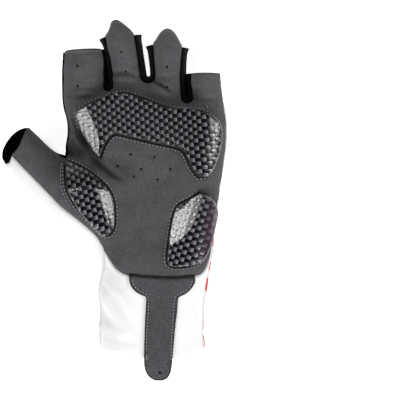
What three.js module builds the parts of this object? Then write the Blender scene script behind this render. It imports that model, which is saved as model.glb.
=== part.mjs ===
import * as THREE from "three";

// Short-fingered cycling glove for the left hand, lying on its back with the palm up.
// Millimetres: +X to the little finger's side, +Y to the fingertips, +Z up out of the palm.

// Driving dimensions
const CLOTH_WALL = 1.3; // knitted back, cuff and finger sides
const SUEDE_WALL = 1.5; // microfibre palm
const SEAM_GAP = 0.3; // between two panels along a seam
const PAD_GAP = 0.55; // under a pad
const PAD_HEIGHT = 3.6;
const PAD_EDGE = 1.0; // height of a pad at its very edge
const PAD_BEVEL = 3.2; // width of a pad's sloped border
const PAD_STATION = 5.5; // step between sections along a pad
const PAD_END = 0.035; // the first and last sections inside a pad, as a share of its length
const PAD_BEVEL_SHARE = 0.3; // most of a pad's width that its sloped border takes
const STRAP_WALL = 1.6;
const STRAP_DROOP = 1.2; // how far the strap's free end sags past the hem
const BACK_CUT = 4; // finger backs end this much short of the palm side
const GAP_ROUND = 12; // how far in from a gap the fingers are rounded
const FORK_ROUND = 13; // and the palm, at the bottom of a gap
const WEB_SEAM = 6; // degrees round the edge from the web side to the palm seam
const LITTLE_SEAM = 8; // and from the little finger's side
const SIDE_SEAM = 38; // about how far round a finger's side its palm seam lies, in degrees
const SIDE_SEAM_BACK = 32; // and its back seam
const WEB_ANGLE = 70; // degrees round the edge that the web patch reaches on the back
const WRAP_ANGLE = 60; // degrees round the edge that the back's wraps reach on the palm side
const CORNER_GAP = 0.36; // along a side, where three panels meet
const MERGE = 0.005; // points of one panel closer than about this are one point
const CURL_START = 45; // from here on the fingers curl up towards the palm
const CURL_LENGTH = 60;
const CURL_RISE = 5;
const THUMB_START = -24; // from here outwards the thumb rises
const THUMB_LENGTH = 42;
const THUMB_RISE = 10;
const THUMB_BELOW = 10;
const THUMB_ABOVE = 10;

// Half thicknesses along the hand, below and above the height of its side seams
const THICKNESS = [
  { y: -100, below: 12.5, above: 12.5 },
  { y: -60, below: 12.5, above: 12.5 },
  { y: -25, below: 12, above: 15 },
  { y: 15, below: 12, above: 16 },
  { y: 45, below: 11, above: 14 },
  { y: 72, below: 9, above: 10.5 },
  { y: 110, below: 8, above: 8.5 },
];

// Bulges and hollows of the palm, each an oval hump
const HUMPS = [
  { x: -14, y: -4, wide: 19, long: 24, height: 2 }, // ball of the thumb
  { x: 45, y: -14, wide: 18, long: 28, height: 1.5 }, // heel of the hand
  { x: 15, y: 8, wide: 19, long: 22, height: -4 }, // hollow of the palm
  { x: -14, y: 24, wide: 17, long: 8, height: -2.5 }, // valley from the fork of the thumb
  { x: 4, y: -62, wide: 8, long: 15, height: 1.6 }, // soft fold in the cuff
  { x: -2, y: -72, wide: 6, long: 10, height: -1.4 },
  { x: 47, y: -66, wide: 5, long: 16, height: -1.2 },
];

// Outer side from the hem round the wrist to the thumb's mouth.
// round: how far in from the edge the form is rounded; seam: degrees round the edge to the palm side's seam.
const OUTER_SIDE = [
  { x: -9.4, y: -110, round: 17, seam: 24 },
  { x: -9.4, y: -87.5, round: 17, seam: 24, name: "hem" },
  { x: -9.8, y: -78, round: 17, seam: 24 },
  { x: -8.8, y: -67, round: 17, seam: 24 },
  { x: -10.1, y: -55, round: 17, seam: 24 },
  { x: -8.6, y: -46, round: 17, seam: 26 },
  { x: -7.8, y: -39, round: 17, seam: 32 },
  { x: -9.6, y: -32.5, round: 16, seam: 40, name: "wrist" },
  { x: -13.8, y: -26.2, round: 15, seam: 48 },
  { x: -23, y: -19.2, round: 14, seam: 57 },
  { x: -35.5, y: -9.8, round: 13, seam: 62 },
  { x: -44.4, y: -0.4, round: 13, seam: 62 },
  { x: -56.4, y: 12, round: 13, seam: 62 },
  { x: -65.7, y: 21.7, round: 13, seam: 62, name: "mouth" },
  { x: -76, y: 32, round: 13, seam: 62 },
];

// Little finger's side from the hem to the little finger's tip
const LITTLE_SIDE = [
  { x: 54.6, y: -110, round: 17, seam: 24 },
  { x: 54.5, y: -89.5, round: 17, seam: 24, name: "hem" },
  { x: 54.2, y: -79, round: 17, seam: 24 },
  { x: 54.4, y: -70, round: 17, seam: 24 },
  { x: 55.2, y: -58.8, round: 17, seam: 24 },
  { x: 57, y: -46.5, round: 18, seam: 20 },
  { x: 58.9, y: -34, round: 18, seam: 12 },
  { x: 60, y: -24.5, round: 18, seam: LITTLE_SEAM, name: "heel" },
  { x: 61.8, y: -8, round: 18, seam: LITTLE_SEAM },
  { x: 63.8, y: 7, round: 18, seam: LITTLE_SEAM },
  { x: 65.9, y: 20, round: 18, seam: LITTLE_SEAM },
  { x: 67.3, y: 31, round: 18, seam: LITTLE_SEAM },
  { x: 67.9, y: 41, round: 16, seam: LITTLE_SEAM },
  { x: 67.1, y: 51, round: 14, seam: LITTLE_SEAM },
  { x: 65.4, y: 62, round: 12, seam: LITTLE_SEAM, name: "knuckle" },
  { x: 64.5, y: 70, round: 11, seam: LITTLE_SEAM },
  { x: 64.3, y: 76.4, round: 11, seam: LITTLE_SEAM, name: "tip" },
  { x: 64.2, y: 95, round: 11, seam: LITTLE_SEAM },
];

// Thumb's inner edge from its mouth, round the fork and up the index finger.
// reach: how far the web patch covers the back from this edge.
const WEB_SIDE = [
  { x: -61, y: 53.1, round: 13, reach: 13 },
  { x: -51.3, y: 43.5, round: 13, reach: 13, name: "mouth" },
  { x: -45.4, y: 37.7, round: 13, reach: 12 },
  { x: -39.6, y: 32, round: 14, reach: 11 },
  { x: -35.2, y: 28.6, round: 17, reach: 10.5, name: "fork_start" },
  { x: -31.8, y: 26.5, round: 21, reach: 10 },
  { x: -29.3, y: 25.9, round: 24, reach: 10, name: "fork" },
  { x: -28.4, y: 28.6, round: 22, reach: 9.5 },
  { x: -28.1, y: 33, round: 18, reach: 9, name: "fork_end" },
  { x: -27.2, y: 40, round: 15, reach: 8.5 },
  { x: -28, y: 48, round: 13, reach: 8 },
  { x: -30.4, y: 57, round: 12.5, reach: 8 },
  { x: -31, y: 68, round: 12.5, reach: 8, name: "knuckle" },
  { x: -30.9, y: 79, round: 12.5, reach: 8 },
  { x: -30.3, y: 89, round: 12.5, reach: 8, name: "tip" },
  { x: -29.8, y: 108, round: 12.5, reach: 8 },
];

// Gaps between the fingers from top to bottom: middle of the gap and half its width.
// left and right: how much of the black strip shows on each side of the gap, and floor: at its bottom.
// leftTop and rightTop: where the finger on each side ends.
const GAPS = {
  index_middle: {
    leftTop: 91,
    rightTop: 97.2,
    floor: 3,
    rows: [
      { y: 118, x: -14.6, half: 0.4, left: 0.5, right: 3.2 },
      { y: 98, x: -8.95, half: 0.4, left: 0.5, right: 3.2 },
      { y: 91.2, x: -6.45, half: 0.4, left: 0.5, right: 2.7 },
      { y: 84, x: -4.95, half: 0.4, left: 0.7, right: 2.6 },
      { y: 77, x: -4.15, half: 0.4, left: 1.3, right: 2.45 },
      { y: 69.6, x: -3.75, half: 0.4, left: 2, right: 2.35 },
    ],
  },
  middle_ring: {
    leftTop: 99.7,
    rightTop: 92.8,
    floor: 3.8,
    rows: [
      { y: 118, x: 14, half: 1.4, left: 3.4, right: 3.4 },
      { y: 99, x: 17.2, half: 1.4, left: 3.4, right: 3.4 },
      { y: 92.6, x: 18.2, half: 1.4, left: 3.2, right: 3.2 },
      { y: 86.5, x: 19.1, half: 1.4, left: 3.2, right: 2.7 },
      { y: 80, x: 20, half: 1.3, left: 3.3, right: 2.3 },
      { y: 75.8, x: 20.4, half: 1.1, left: 3.4, right: 2.6 },
    ],
  },
  ring_little: {
    leftTop: 91.6,
    rightTop: 76.2,
    floor: 3.5,
    rows: [
      { y: 112, x: 46, half: 0.4, left: 2.6, right: 2.5 },
      { y: 92, x: 44.3, half: 0.4, left: 2.6, right: 2.5 },
      { y: 84, x: 43.55, half: 0.4, left: 2.9, right: 2.5 },
      { y: 76.5, x: 43.35, half: 0.4, left: 3.1, right: 2.4 },
      { y: 69.5, x: 43.55, half: 0.4, left: 3.2, right: 2.4 },
      { y: 62.6, x: 44, half: 0.4, left: 3.1, right: 2.6 },
    ],
  },
};

// Upper ends of the palm side's finger strips, from the thumb's side on; the long ones are pull tabs
const TIPS = {
  index: [[-28.6, 90], [-17.4, 90.7], [-9.4, 91.1]],
  middle: [[-3.3, 102], [-1.6, 106.6], [0.8, 108.1], [3.6, 107.3], [9.4, 102.9]],
  ring: [[25.4, 97.2], [28.2, 100.9], [32.2, 102.8], [36.4, 100.4], [39.4, 95.6]],
  little: [[55, 76.4]],
};

const LOWER_EDGE = [[-4.2, -34], [-0.4, -39.2], [3.8, -42.8], [9, -44.8], [21.6, -46.3], [36.6, -46.6],
  [48, -45.6], [53.4, -43.6], [57.2, -37.4]];
const LOWER_LEFT = 4; // place in LOWER_EDGE of the panel's lower corners, counted with its two ends
const LOWER_RIGHT = 8;
const HEM = [[-6.4, -89.6], [9.6, -93], [27.6, -95.1], [45.6, -93.6]];
const MOUTH_BACK = [[-54, 43.8], [-58.4, 42.2], [-62.6, 38.8], [-66, 34.2], [-67.8, 29.6], [-67.7, 25.2]];
const MOUTH_WEB = 3; // place in MOUTH_BACK where the web patch ends
const MOUTH_PALM = [[-53.4, 38.3], [-56.4, 31.8]];
const THUMB_ROOT_PALM = [[-17, -6]]; // where the thumb leaves the hand, between wrist and fork
const THUMB_ROOT_BACK = [[-19, -5]];

// Pads: a row for each station along the pad, with both edges
const PAD_ROWS = {
  pad_crescent: [
    { ax: -12.2, ay: 28.4, bx: -7.8, by: 27 },
    { ax: -17, ay: 34.8, bx: -6, by: 31.4 },
    { ax: -21.6, ay: 42.3, bx: -3.6, by: 35.2 },
    { ax: -23.2, ay: 49.4, bx: -1.5, by: 38 },
    { ax: -19.6, ay: 54.4, bx: 1.4, by: 39.2 },
    { ax: -8, ay: 60.2, bx: 5, by: 38.5 },
    { ax: 5.4, ay: 64, bx: 11, by: 37.1 },
    { ax: 18.6, ay: 60, bx: 18, by: 35.4 },
    { ax: 33, ay: 54.9, bx: 28, by: 33.1 },
    { ax: 48.6, ay: 53.2, bx: 36, by: 31.4 },
    { ax: 58.6, ay: 50, bx: 40.5, by: 29.6 },
    { ax: 63, ay: 43.4, bx: 43.2, by: 26.1 },
    { ax: 62.6, ay: 32, bx: 45.6, by: 20.6 },
    { ax: 59, ay: 20, bx: 48.6, by: 15.8 },
    { ax: 55.4, ay: 13.8, bx: 51.6, by: 13.2 },
  ],
  pad_thumb: [
    { ax: -26.4, ay: 23.1, bx: -30, by: 19.8 },
    { ax: -21.6, ay: 21, bx: -29.8, by: 13.2 },
    { ax: -15.6, ay: 16.8, bx: -28.5, by: 6.6 },
    { ax: -9.6, ay: 12.3, bx: -25.8, by: 0.6 },
    { ax: -4.2, ay: 7.5, bx: -21.9, by: -4.8 },
    { ax: -0.9, ay: 3.6, bx: -18, by: -9.6 },
    { ax: 0.4, ay: -4.2, bx: -13.8, by: -14.4 },
    { ax: 0.8, ay: -11.4, bx: -9.6, by: -18.6 },
    { ax: 0, ay: -18.6, bx: -5.7, by: -21.3 },
  ],
  pad_heel: [
    { ax: 51, ay: 4.2, bx: 55.8, by: 2.4 },
    { ax: 44.4, ay: 0, bx: 59, by: -2.1 },
    { ax: 38.4, ay: -3.3, bx: 60.3, by: -7.2 },
    { ax: 35.7, ay: -8.9, bx: 59.4, by: -13.2 },
    { ax: 34.3, ay: -16.2, bx: 58, by: -19.8 },
    { ax: 33, ay: -24.6, bx: 56.4, by: -26.7 },
    { ax: 32, ay: -33, bx: 53.6, by: -33.6 },
    { ax: 32.6, ay: -38.4, bx: 49.8, by: -37.7 },
    { ax: 36.6, ay: -40.1, bx: 43.2, by: -39.6 },
  ],
};

// Wide facets cut across the pads: a point on the ridge, the way that it faces in plan and its tilt
const PAD_FACETS = {
  pad_crescent: { x: -13, y: 42, faces: 195, tilt: 19 },
  pad_thumb: { x: -7.5, y: -4.2, faces: 18, tilt: 19 },
  pad_heel: { x: 43.8, y: -14.4, faces: 141, tilt: 12 },
};

// Pull strap from its yoke at the palm's lower edge to the free end
const STRAP_ROWS = [
  { y: -47.6, left: 9.1, right: 48.4 },
  { y: -50.6, left: 9.8, right: 47.9 },
  { y: -53.4, left: 11.6, right: 46.4 },
  { y: -55.6, left: 14.6, right: 44.4 },
  { y: -57.6, left: 18.9, right: 40.4 },
  { y: -60.2, left: 19.4, right: 38.4 },
  { y: -67, left: 19.1, right: 37.8 },
  { y: -78, left: 18.6, right: 36.6 },
  { y: -88, left: 18.3, right: 35.7 },
  { y: -93, left: 18.2, right: 35.3, name: "hem" },
  { y: -99, left: 18.3, right: 34.8 },
  { y: -103.6, left: 19.6, right: 33.9 },
  { y: -106.6, left: 22.2, right: 32 },
  { y: -108, left: 25.2, right: 29.4 },
];

const COLOUR = {
  suede: 0x59595c,
  cloth: 0xf1f1f1,
  stretch: 0x161618,
  film: 0x2c2c2f,
  strap: 0x4f4f52,
};

// Curves: a smooth line through rows, sampled closely, with every column carried along
function cubic(a, b, c, d, u) {
  const linear = (c - a) * u;
  const square = (2 * a - 5 * b + 4 * c - d) * u * u;
  const cube = (3 * b - a - 3 * c + d) * u * u * u;
  return b + 0.5 * (linear + square + cube);
}

function smoothRows(rows, steps) {
  const keys = Object.keys(rows[0]).filter((key) => typeof rows[0][key] === "number");
  const samples = [];
  for (let i = 0; i < rows.length - 1; i++) {
    const near = [rows[Math.max(i - 1, 0)], rows[i], rows[i + 1], rows[Math.min(i + 2, rows.length - 1)]];
    for (let k = 0; k < steps; k++) {
      const sample = {};
      for (const key of keys) {
        sample[key] = cubic(near[0][key], near[1][key], near[2][key], near[3][key], k / steps);
      }
      samples.push(sample);
    }
  }
  samples.push({ ...rows[rows.length - 1] });
  return samples;
}

// A line that knows its length; hand is 1 where the glove lies to the right of its direction, else -1
function line(samples, hand = 1) {
  const lengths = [0];
  for (let i = 1; i < samples.length; i++) {
    const step = Math.hypot(samples[i].x - samples[i - 1].x, samples[i].y - samples[i - 1].y);
    lengths.push(lengths[i - 1] + step);
  }
  return { samples, lengths, hand, length: lengths[lengths.length - 1] };
}

function at(curve, distance, inward = 0) {
  const { samples, lengths } = curve;
  let i = 1;
  while (i < samples.length - 1 && lengths[i] < distance) i++;
  const share = (distance - lengths[i - 1]) / (lengths[i] - lengths[i - 1]);
  const point = {};
  for (const key of Object.keys(samples[i])) {
    if (typeof samples[i][key] === "number") {
      point[key] = samples[i - 1][key] + share * (samples[i][key] - samples[i - 1][key]);
    }
  }
  const before = samples[Math.max(i - 2, 0)];
  const after = samples[Math.min(i + 1, samples.length - 1)];
  const run = Math.hypot(after.x - before.x, after.y - before.y);
  point.x += (curve.hand * inward * (after.y - before.y)) / run;
  point.y -= (curve.hand * inward * (after.x - before.x)) / run;
  return point;
}

const STEPS = 12; // samples between two rows of a table

function side(rows, hand) {
  const curve = line(smoothRows(rows, STEPS), hand);
  curve.mark = {};
  rows.forEach((row, i) => {
    if (row.name) curve.mark[row.name] = curve.lengths[i * STEPS];
  });
  return curve;
}

function spread(from, to, count) {
  return Array.from({ length: count + 1 }, (_, i) => from + ((to - from) * i) / count);
}

function chain(...lists) {
  return lists.flatMap((list, i) => (i === 0 ? list : list.slice(1)));
}

// A gap between two fingers: down its left side, round its bottom and up its right side
function gapCurve({ rows, leftTop, rightTop, floor }) {
  const centre = smoothRows(rows, STEPS);
  const end = centre[centre.length - 1];
  const left = centre.map((row) => ({ x: row.x - row.half, y: row.y, round: GAP_ROUND, strip: row.left }));
  const bottom = spread(180, 360, STEPS).slice(1, -1).map((angle) => {
    const [along, down] = [Math.cos((angle * Math.PI) / 180), -Math.sin((angle * Math.PI) / 180)];
    const beside = along < 0 ? end.left : end.right;
    return {
      x: end.x + end.half * along,
      y: end.y - end.half * down,
      round: FORK_ROUND,
      strip: beside + (floor - beside) * down,
    };
  });
  const right = centre.map((row) => ({ x: row.x + row.half, y: row.y, round: GAP_ROUND, strip: row.right }));
  const curve = line([...left, ...bottom, ...right.reverse()], 1);
  const bend = curve.lengths[left.length - 1];
  const unbend = curve.lengths[left.length + bottom.length];
  const lengthAt = (y, first, last) => {
    for (let i = first; i < last; i++) {
      const here = curve.samples[i].y;
      const next = curve.samples[i + 1].y;
      if ((here - y) * (next - y) <= 0) {
        return curve.lengths[i] + ((y - here) / (next - here)) * (curve.lengths[i + 1] - curve.lengths[i]);
      }
    }
    return 0;
  };
  const middle = left.length + STEPS / 2 - 1;
  curve.mark = { bend, unbend };
  curve.mark.leftTop = lengthAt(leftTop, 0, middle);
  curve.mark.rightTop = lengthAt(rightTop, middle, curve.samples.length - 1);
  curve.mark.leftBack = lengthAt(leftTop - BACK_CUT, 0, middle);
  curve.mark.rightBack = lengthAt(rightTop - BACK_CUT, middle, curve.samples.length - 1);
  return curve;
}

const outer = side(OUTER_SIDE, 1);
const little = side(LITTLE_SIDE, -1);
const web = side(WEB_SIDE.map((row) => ({ ...row, seam: WEB_SEAM })), 1);
const gaps = {
  index_middle: gapCurve(GAPS.index_middle),
  middle_ring: gapCurve(GAPS.middle_ring),
  ring_little: gapCurve(GAPS.ring_little),
};
const EDGES = [outer, little, web, gaps.index_middle, gaps.middle_ring, gaps.ring_little];

// Form: how full the glove is over a point of the plan, from 0 at its side seams to 1 well inside
const ON_EDGE = 0.01;
const SLOPE_STEP = 0.25; // over which a height's own slope is measured

function nearest(curve, x, y) {
  const best = { distance: Infinity };
  const { samples, hand } = curve;
  for (let i = 1; i < samples.length; i++) {
    const a = samples[i - 1];
    const b = samples[i];
    const dx = b.x - a.x;
    const dy = b.y - a.y;
    const share = THREE.MathUtils.clamp(((x - a.x) * dx + (y - a.y) * dy) / (dx * dx + dy * dy), 0, 1);
    const awayX = x - a.x - share * dx;
    const awayY = y - a.y - share * dy;
    const distance = Math.hypot(awayX, awayY);
    if (distance < best.distance) {
      const run = Math.hypot(dx, dy);
      const close = distance < ON_EDGE;
      best.distance = distance;
      best.round = a.round + share * (b.round - a.round);
      best.inX = close ? (hand * dy) / run : awayX / distance;
      best.inY = close ? (-hand * dx) / run : awayY / distance;
    }
  }
  return best;
}

// full, and full times its slope in plan, which stays finite at the side seams
function fullness(x, y) {
  const near = EDGES.map((edge) => {
    const { distance, round, inX, inY } = nearest(edge, x, y);
    const rest = 1 - Math.min(distance / round, 1);
    return { sine: Math.sqrt(1 - rest * rest), cosine: rest, round, inX, inY };
  });
  const full = near.reduce((product, { sine }) => product * sine, 1);
  let slopeX = 0;
  let slopeY = 0;
  near.forEach(({ cosine, round, inX, inY }, i) => {
    const others = near.reduce((product, { sine }, k) => (k === i ? product : product * sine), 1);
    slopeX += (cosine / round) * inX * others * others;
    slopeY += (cosine / round) * inY * others * others;
  });
  return { full, slopeX, slopeY };
}

const smooth = (t) => THREE.MathUtils.smoothstep(t, 0, 1);
const thickness = line(smoothRows(THICKNESS.map((row) => ({ ...row, x: 0 })), STEPS));

function section(x, y) {
  const base = at(thickness, THREE.MathUtils.clamp(y - THICKNESS[0].y, 0, thickness.length));
  const thumb = smooth((THUMB_START - x) / THUMB_LENGTH);
  const below = base.below + thumb * (THUMB_BELOW - base.below);
  const above = base.above + thumb * (THUMB_ABOVE - base.above);
  const lift = CURL_RISE * smooth((y - CURL_START) / CURL_LENGTH) + THUMB_RISE * thumb;
  return { below, above, lift };
}

function relief(x, y) {
  return HUMPS.reduce((sum, hump) => {
    const across = (x - hump.x) / hump.wide;
    const along = (y - hump.y) / hump.long;
    return sum + hump.height * Math.exp(-across * across - along * along);
  }, 0);
}

// The two sheets of the form: height over the plan, and how much it gains with full
const PALM = {
  up: true,
  height(x, y, full) {
    const { below, above, lift } = section(x, y);
    return lift + below + above * full + relief(x, y) * full * full;
  },
  gain: (x, y, full) => section(x, y).above + 2 * relief(x, y) * full,
};
const BACK = {
  up: false,
  height(x, y, full) {
    const { below, lift } = section(x, y);
    return lift + below * (1 - full);
  },
  gain: (x, y) => -section(x, y).below,
};

// A point of a sheet, with the direction that points out of it there
function sheetPoint({ x, y, rim: onRim }, sheet) {
  const { full: free, slopeX, slopeY } = fullness(x, y);
  const full = onRim ? 0 : free;
  const step = SLOPE_STEP;
  const gain = sheet.gain(x, y, full);
  const driftX = (sheet.height(x + step, y, full) - sheet.height(x - step, y, full)) / (2 * step);
  const driftY = (sheet.height(x, y + step, full) - sheet.height(x, y - step, full)) / (2 * step);
  const out = new THREE.Vector3(-gain * slopeX - full * driftX, -gain * slopeY - full * driftY, full);
  const point = new THREE.Vector3(x, y, sheet.height(x, y, full));
  point.out = out.normalize().multiplyScalar(sheet.up ? 1 : -1);
  return point;
}

// Seams: degrees round a side, as a distance in from it in plan; widen is half a seam's gap
function inset(round, degrees, widen = 0) {
  return round * (1 - Math.cos((degrees * Math.PI) / 180 + widen / round));
}

function seam(curve, distance, widen) {
  const point = at(curve, distance);
  return at(curve, distance, inset(point.round, point.seam, widen));
}

// The black strips' seams: as far in from the gap as the strip shows, and at one angle on the back
function stripSeam(curve, distance, widen) {
  const { round, strip } = at(curve, distance);
  return at(curve, distance, inset(round, THREE.MathUtils.radToDeg(Math.acos(1 - strip / round)), widen));
}

function stripSeamBack(curve, distance, widen) {
  return at(curve, distance, inset(at(curve, distance).round, SIDE_SEAM_BACK, widen));
}

function rim(curve, distance) {
  return { ...at(curve, distance), rim: true };
}

function reach(distance, widen) {
  return at(web, distance, at(web, distance).reach + widen);
}

// Shares of a width that step evenly round an arc from one angle to another
function fan(from, to, count) {
  const first = Math.cos((from * Math.PI) / 180);
  const last = Math.cos((to * Math.PI) / 180);
  return spread(from, to, count).map((angle) => (first - Math.cos((angle * Math.PI) / 180)) / (first - last));
}

// Points at given shares of a smooth line between two ends, by way of the points between
function between(start, via, end, shares) {
  const stops = [[start.x, start.y], ...via, [end.x, end.y]].map(([x, y]) => ({ x, y }));
  const curve = line(smoothRows(stops, STEPS));
  const points = shares.map((share) => at(curve, share * curve.length));
  points[0] = start;
  points[points.length - 1] = end;
  return points;
}

// A patch between four sides: each point blends the sides opposite to each other (Coons)
function patch(bottom, top, left, right) {
  const shares = (a, b) => {
    const measure = (points) => line(points).lengths.map((length, i, all) => length / all[all.length - 1]);
    const first = measure(a);
    const second = measure(b);
    return first.map((share, i) => (share + second[i]) / 2);
  };
  const across = shares(bottom, top);
  const along = shares(left, right);
  const corner = (key, u, v) => (1 - u) * (1 - v) * bottom[0][key] + u * (1 - v) * bottom.at(-1)[key]
    + (1 - u) * v * top[0][key] + u * v * top.at(-1)[key];
  return along.map((v, j) => across.map((u, i) => {
    if (j === 0) return bottom[i];
    if (j === along.length - 1) return top[i];
    if (i === 0) return left[j];
    if (i === across.length - 1) return right[j];
    const blend = (key) => (1 - v) * bottom[i][key] + v * top[i][key] + (1 - u) * left[j][key]
      + u * right[j][key] - corner(key, u, v);
    return { x: blend("x"), y: blend("y") };
  }));
}

// A patch ruled between two lines, with its shares across them
function ruled(first, second, shares) {
  return first.map((start, j) => shares.map((share, i) => {
    if (i === 0) return start;
    if (i === shares.length - 1) return second[j];
    return { x: start.x + share * (second[j].x - start.x), y: start.y + share * (second[j].y - start.y) };
  }));
}

function lifted(grid, sheet) {
  return { up: sheet.up, grid: grid.map((row) => row.map((point) => sheetPoint(point, sheet))) };
}

// Skin: triangles of several grids, sharing the points where the grids meet
function skin(grids) {
  const points = [];
  const found = new Map();
  const triangles = [];
  const index = (point) => {
    const key = [point.x, point.y, point.z].map((value) => Math.round(value / MERGE)).join();
    if (!found.has(key)) {
      found.set(key, points.length);
      points.push(point);
    }
    return found.get(key);
  };
  for (const { grid, up } of grids) {
    let area = 0;
    const cells = [];
    for (let j = 0; j < grid.length - 1; j++) {
      for (let i = 0; i < grid[j].length - 1; i++) {
        const [a, b, c, d] = [grid[j][i], grid[j][i + 1], grid[j + 1][i + 1], grid[j + 1][i]];
        area += (c.x - a.x) * (d.y - b.y) - (c.y - a.y) * (d.x - b.x);
        cells.push([a, b, c, d]);
      }
    }
    const turned = area > 0 !== up;
    for (const cell of cells) {
      const [a, b, c, d] = (turned ? [cell[0], cell[3], cell[2], cell[1]] : cell).map(index);
      const short = points[a].distanceTo(points[c]) < points[b].distanceTo(points[d]);
      const pair = short ? [[a, b, c], [a, c, d]] : [[a, b, d], [b, c, d]];
      triangles.push(...pair.filter((t) => t[0] !== t[1] && t[1] !== t[2] && t[2] !== t[0]));
    }
  }
  return { points, triangles };
}

// Closed solid between an outer skin and an inner one with the same triangles
function closed(points, inner, triangles) {
  const count = points.length;
  const faces = [];
  const edges = new Set();
  for (const [a, b, c] of triangles) {
    faces.push(a, b, c, a + count, c + count, b + count);
    edges.add(`${a},${b}`).add(`${b},${c}`).add(`${c},${a}`);
  }
  for (const edge of edges) {
    const [a, b] = edge.split(",").map(Number);
    if (!edges.has(`${b},${a}`)) faces.push(b, a, a + count, b, a + count, b + count);
  }
  const geometry = new THREE.BufferGeometry();
  geometry.setAttribute("position", new THREE.Float32BufferAttribute(
    [...points, ...inner].flatMap((point) => [point.x, point.y, point.z]), 3));
  geometry.setIndex(faces);
  return geometry;
}

function panel(grids, wall) {
  const { points, triangles } = skin(grids);
  const inside = points.map((point) => point.clone().addScaledVector(point.out, -wall));
  return closed(points, inside, triangles);
}

const palmSide = (grid) => lifted(grid, PALM);
const backSide = (grid) => lifted(grid, BACK);

// How finely each stretch is divided, the same on both panels of a seam
const FINGER_ROWS = 5;
const BEND = 4;
const PALM_COLUMNS = [8, 6, 6, 8]; // across each finger, from the thumb's side on
const BACK_COLUMNS = [5, 6, 6, 8];
const OUTER_WRAP_COLUMNS = 3;
const LITTLE_WRAP_COLUMNS = 1;
const STRIP_COLUMNS = 2;
const WEB_COLUMNS = 5;
const STRAP_COLUMNS = 6;
const CUFF_THIN = 4; // the cuff keeps one in so many of the palm's columns
const HALF_SEAM = SEAM_GAP / 2;
const stretch = {
  thumb: chain(spread(web.mark.mouth, web.mark.fork_start, 4), spread(web.mark.fork_start, web.mark.fork, 2)),
  hand: chain(spread(web.mark.fork, web.mark.fork_end, 2), spread(web.mark.fork_end, web.mark.knuckle, 4)),
  index: spread(web.mark.knuckle, web.mark.tip, FINGER_ROWS),
  thumbOuter: spread(outer.mark.mouth, outer.mark.wrist, 6),
  cuffOuter: spread(outer.mark.wrist, outer.mark.hem, 7),
  handLittle: spread(little.mark.heel, little.mark.knuckle, 12),
  little: spread(little.mark.knuckle, little.mark.tip, FINGER_ROWS),
  cuffLittle: spread(little.mark.hem, little.mark.heel, 7),
};
const SHARED_ROWS = 6;
const LOWER_ROWS = 3;

function gapSteps(curve, leftTop, rightTop) {
  const { bend, unbend } = curve.mark;
  return {
    left: spread(leftTop, bend, FINGER_ROWS),
    bottom: spread(bend, unbend, BEND),
    right: spread(unbend, rightTop, FINGER_ROWS),
  };
}

// Finger sheets and the knuckle line under them, on one side of the glove
function fingers(names, gapSeam, tops, edgeLeft, edgeRight, fans, tips) {
  const steps = names.map((name) => gapSteps(gaps[name], gaps[name].mark[tops[0]], gaps[name].mark[tops[1]]));
  const trace = (name, list) => list.map((distance) => gapSeam(gaps[name], distance, HALF_SEAM));
  const lefts = [edgeLeft, ...names.map((name, i) => trace(name, steps[i].right))];
  const rights = [...names.map((name, i) => trace(name, steps[i].left).reverse()), edgeRight];
  const bottoms = names.map((name, i) => trace(name, steps[i].bottom));
  const grids = [];
  const knuckles = [];
  lefts.forEach((left, i) => {
    const right = rights[i];
    const bottom = between(left[0], [], right[0], fans[i]);
    const top = between(left.at(-1), tips[i], right.at(-1), fans[i]);
    grids.push(patch(bottom, top, left, right));
    knuckles.push(bottom);
    if (bottoms[i]) knuckles.push(bottoms[i]);
  });
  return { grids, knuckle: chain(...knuckles) };
}

const GAP_NAMES = ["index_middle", "middle_ring", "ring_little"];

// Palm
const palmWeb = (list) => list.map((distance) => seam(web, distance, HALF_SEAM));
const palmOuter = (list) => list.map((distance) => seam(outer, distance, HALF_SEAM));
const palmLittle = (list) => list.map((distance) => seam(little, distance, HALF_SEAM));
const palmFingers = fingers(GAP_NAMES, stripSeam, ["leftTop", "rightTop"], palmWeb(stretch.index),
  palmLittle(stretch.little), [
    fan(WEB_SEAM, 180 - SIDE_SEAM, PALM_COLUMNS[0]),
    fan(SIDE_SEAM, 180 - SIDE_SEAM, PALM_COLUMNS[1]),
    fan(SIDE_SEAM, 180 - SIDE_SEAM, PALM_COLUMNS[2]),
    fan(SIDE_SEAM, 180 - LITTLE_SEAM, PALM_COLUMNS[3]),
  ], [TIPS.index, TIPS.middle, TIPS.ring, TIPS.little]);

const wristCorner = palmOuter([outer.mark.wrist])[0];
const heelCorner = palmLittle([little.mark.heel])[0];
const lowerStops = [[wristCorner.x, wristCorner.y], ...LOWER_EDGE, [heelCorner.x, heelCorner.y]];
const lower = line(smoothRows(lowerStops.map(([x, y]) => ({ x, y })), STEPS), -1);
const lowerColumns = palmFingers.knuckle.length - 1;
const lowerSteps = {
  left: spread(0, lower.lengths[LOWER_LEFT * STEPS], LOWER_ROWS),
  middle: (() => {
    const from = lower.lengths[LOWER_LEFT * STEPS];
    const to = lower.lengths[LOWER_RIGHT * STEPS];
    const knuckle = line(palmFingers.knuckle);
    return knuckle.lengths.map((length) => from + ((to - from) * length) / knuckle.length);
  })(),
  right: spread(lower.lengths[LOWER_RIGHT * STEPS], lower.length, LOWER_ROWS),
};
const lowerEdge = (list, inward) => list.map((distance) => at(lower, distance, inward));

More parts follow.
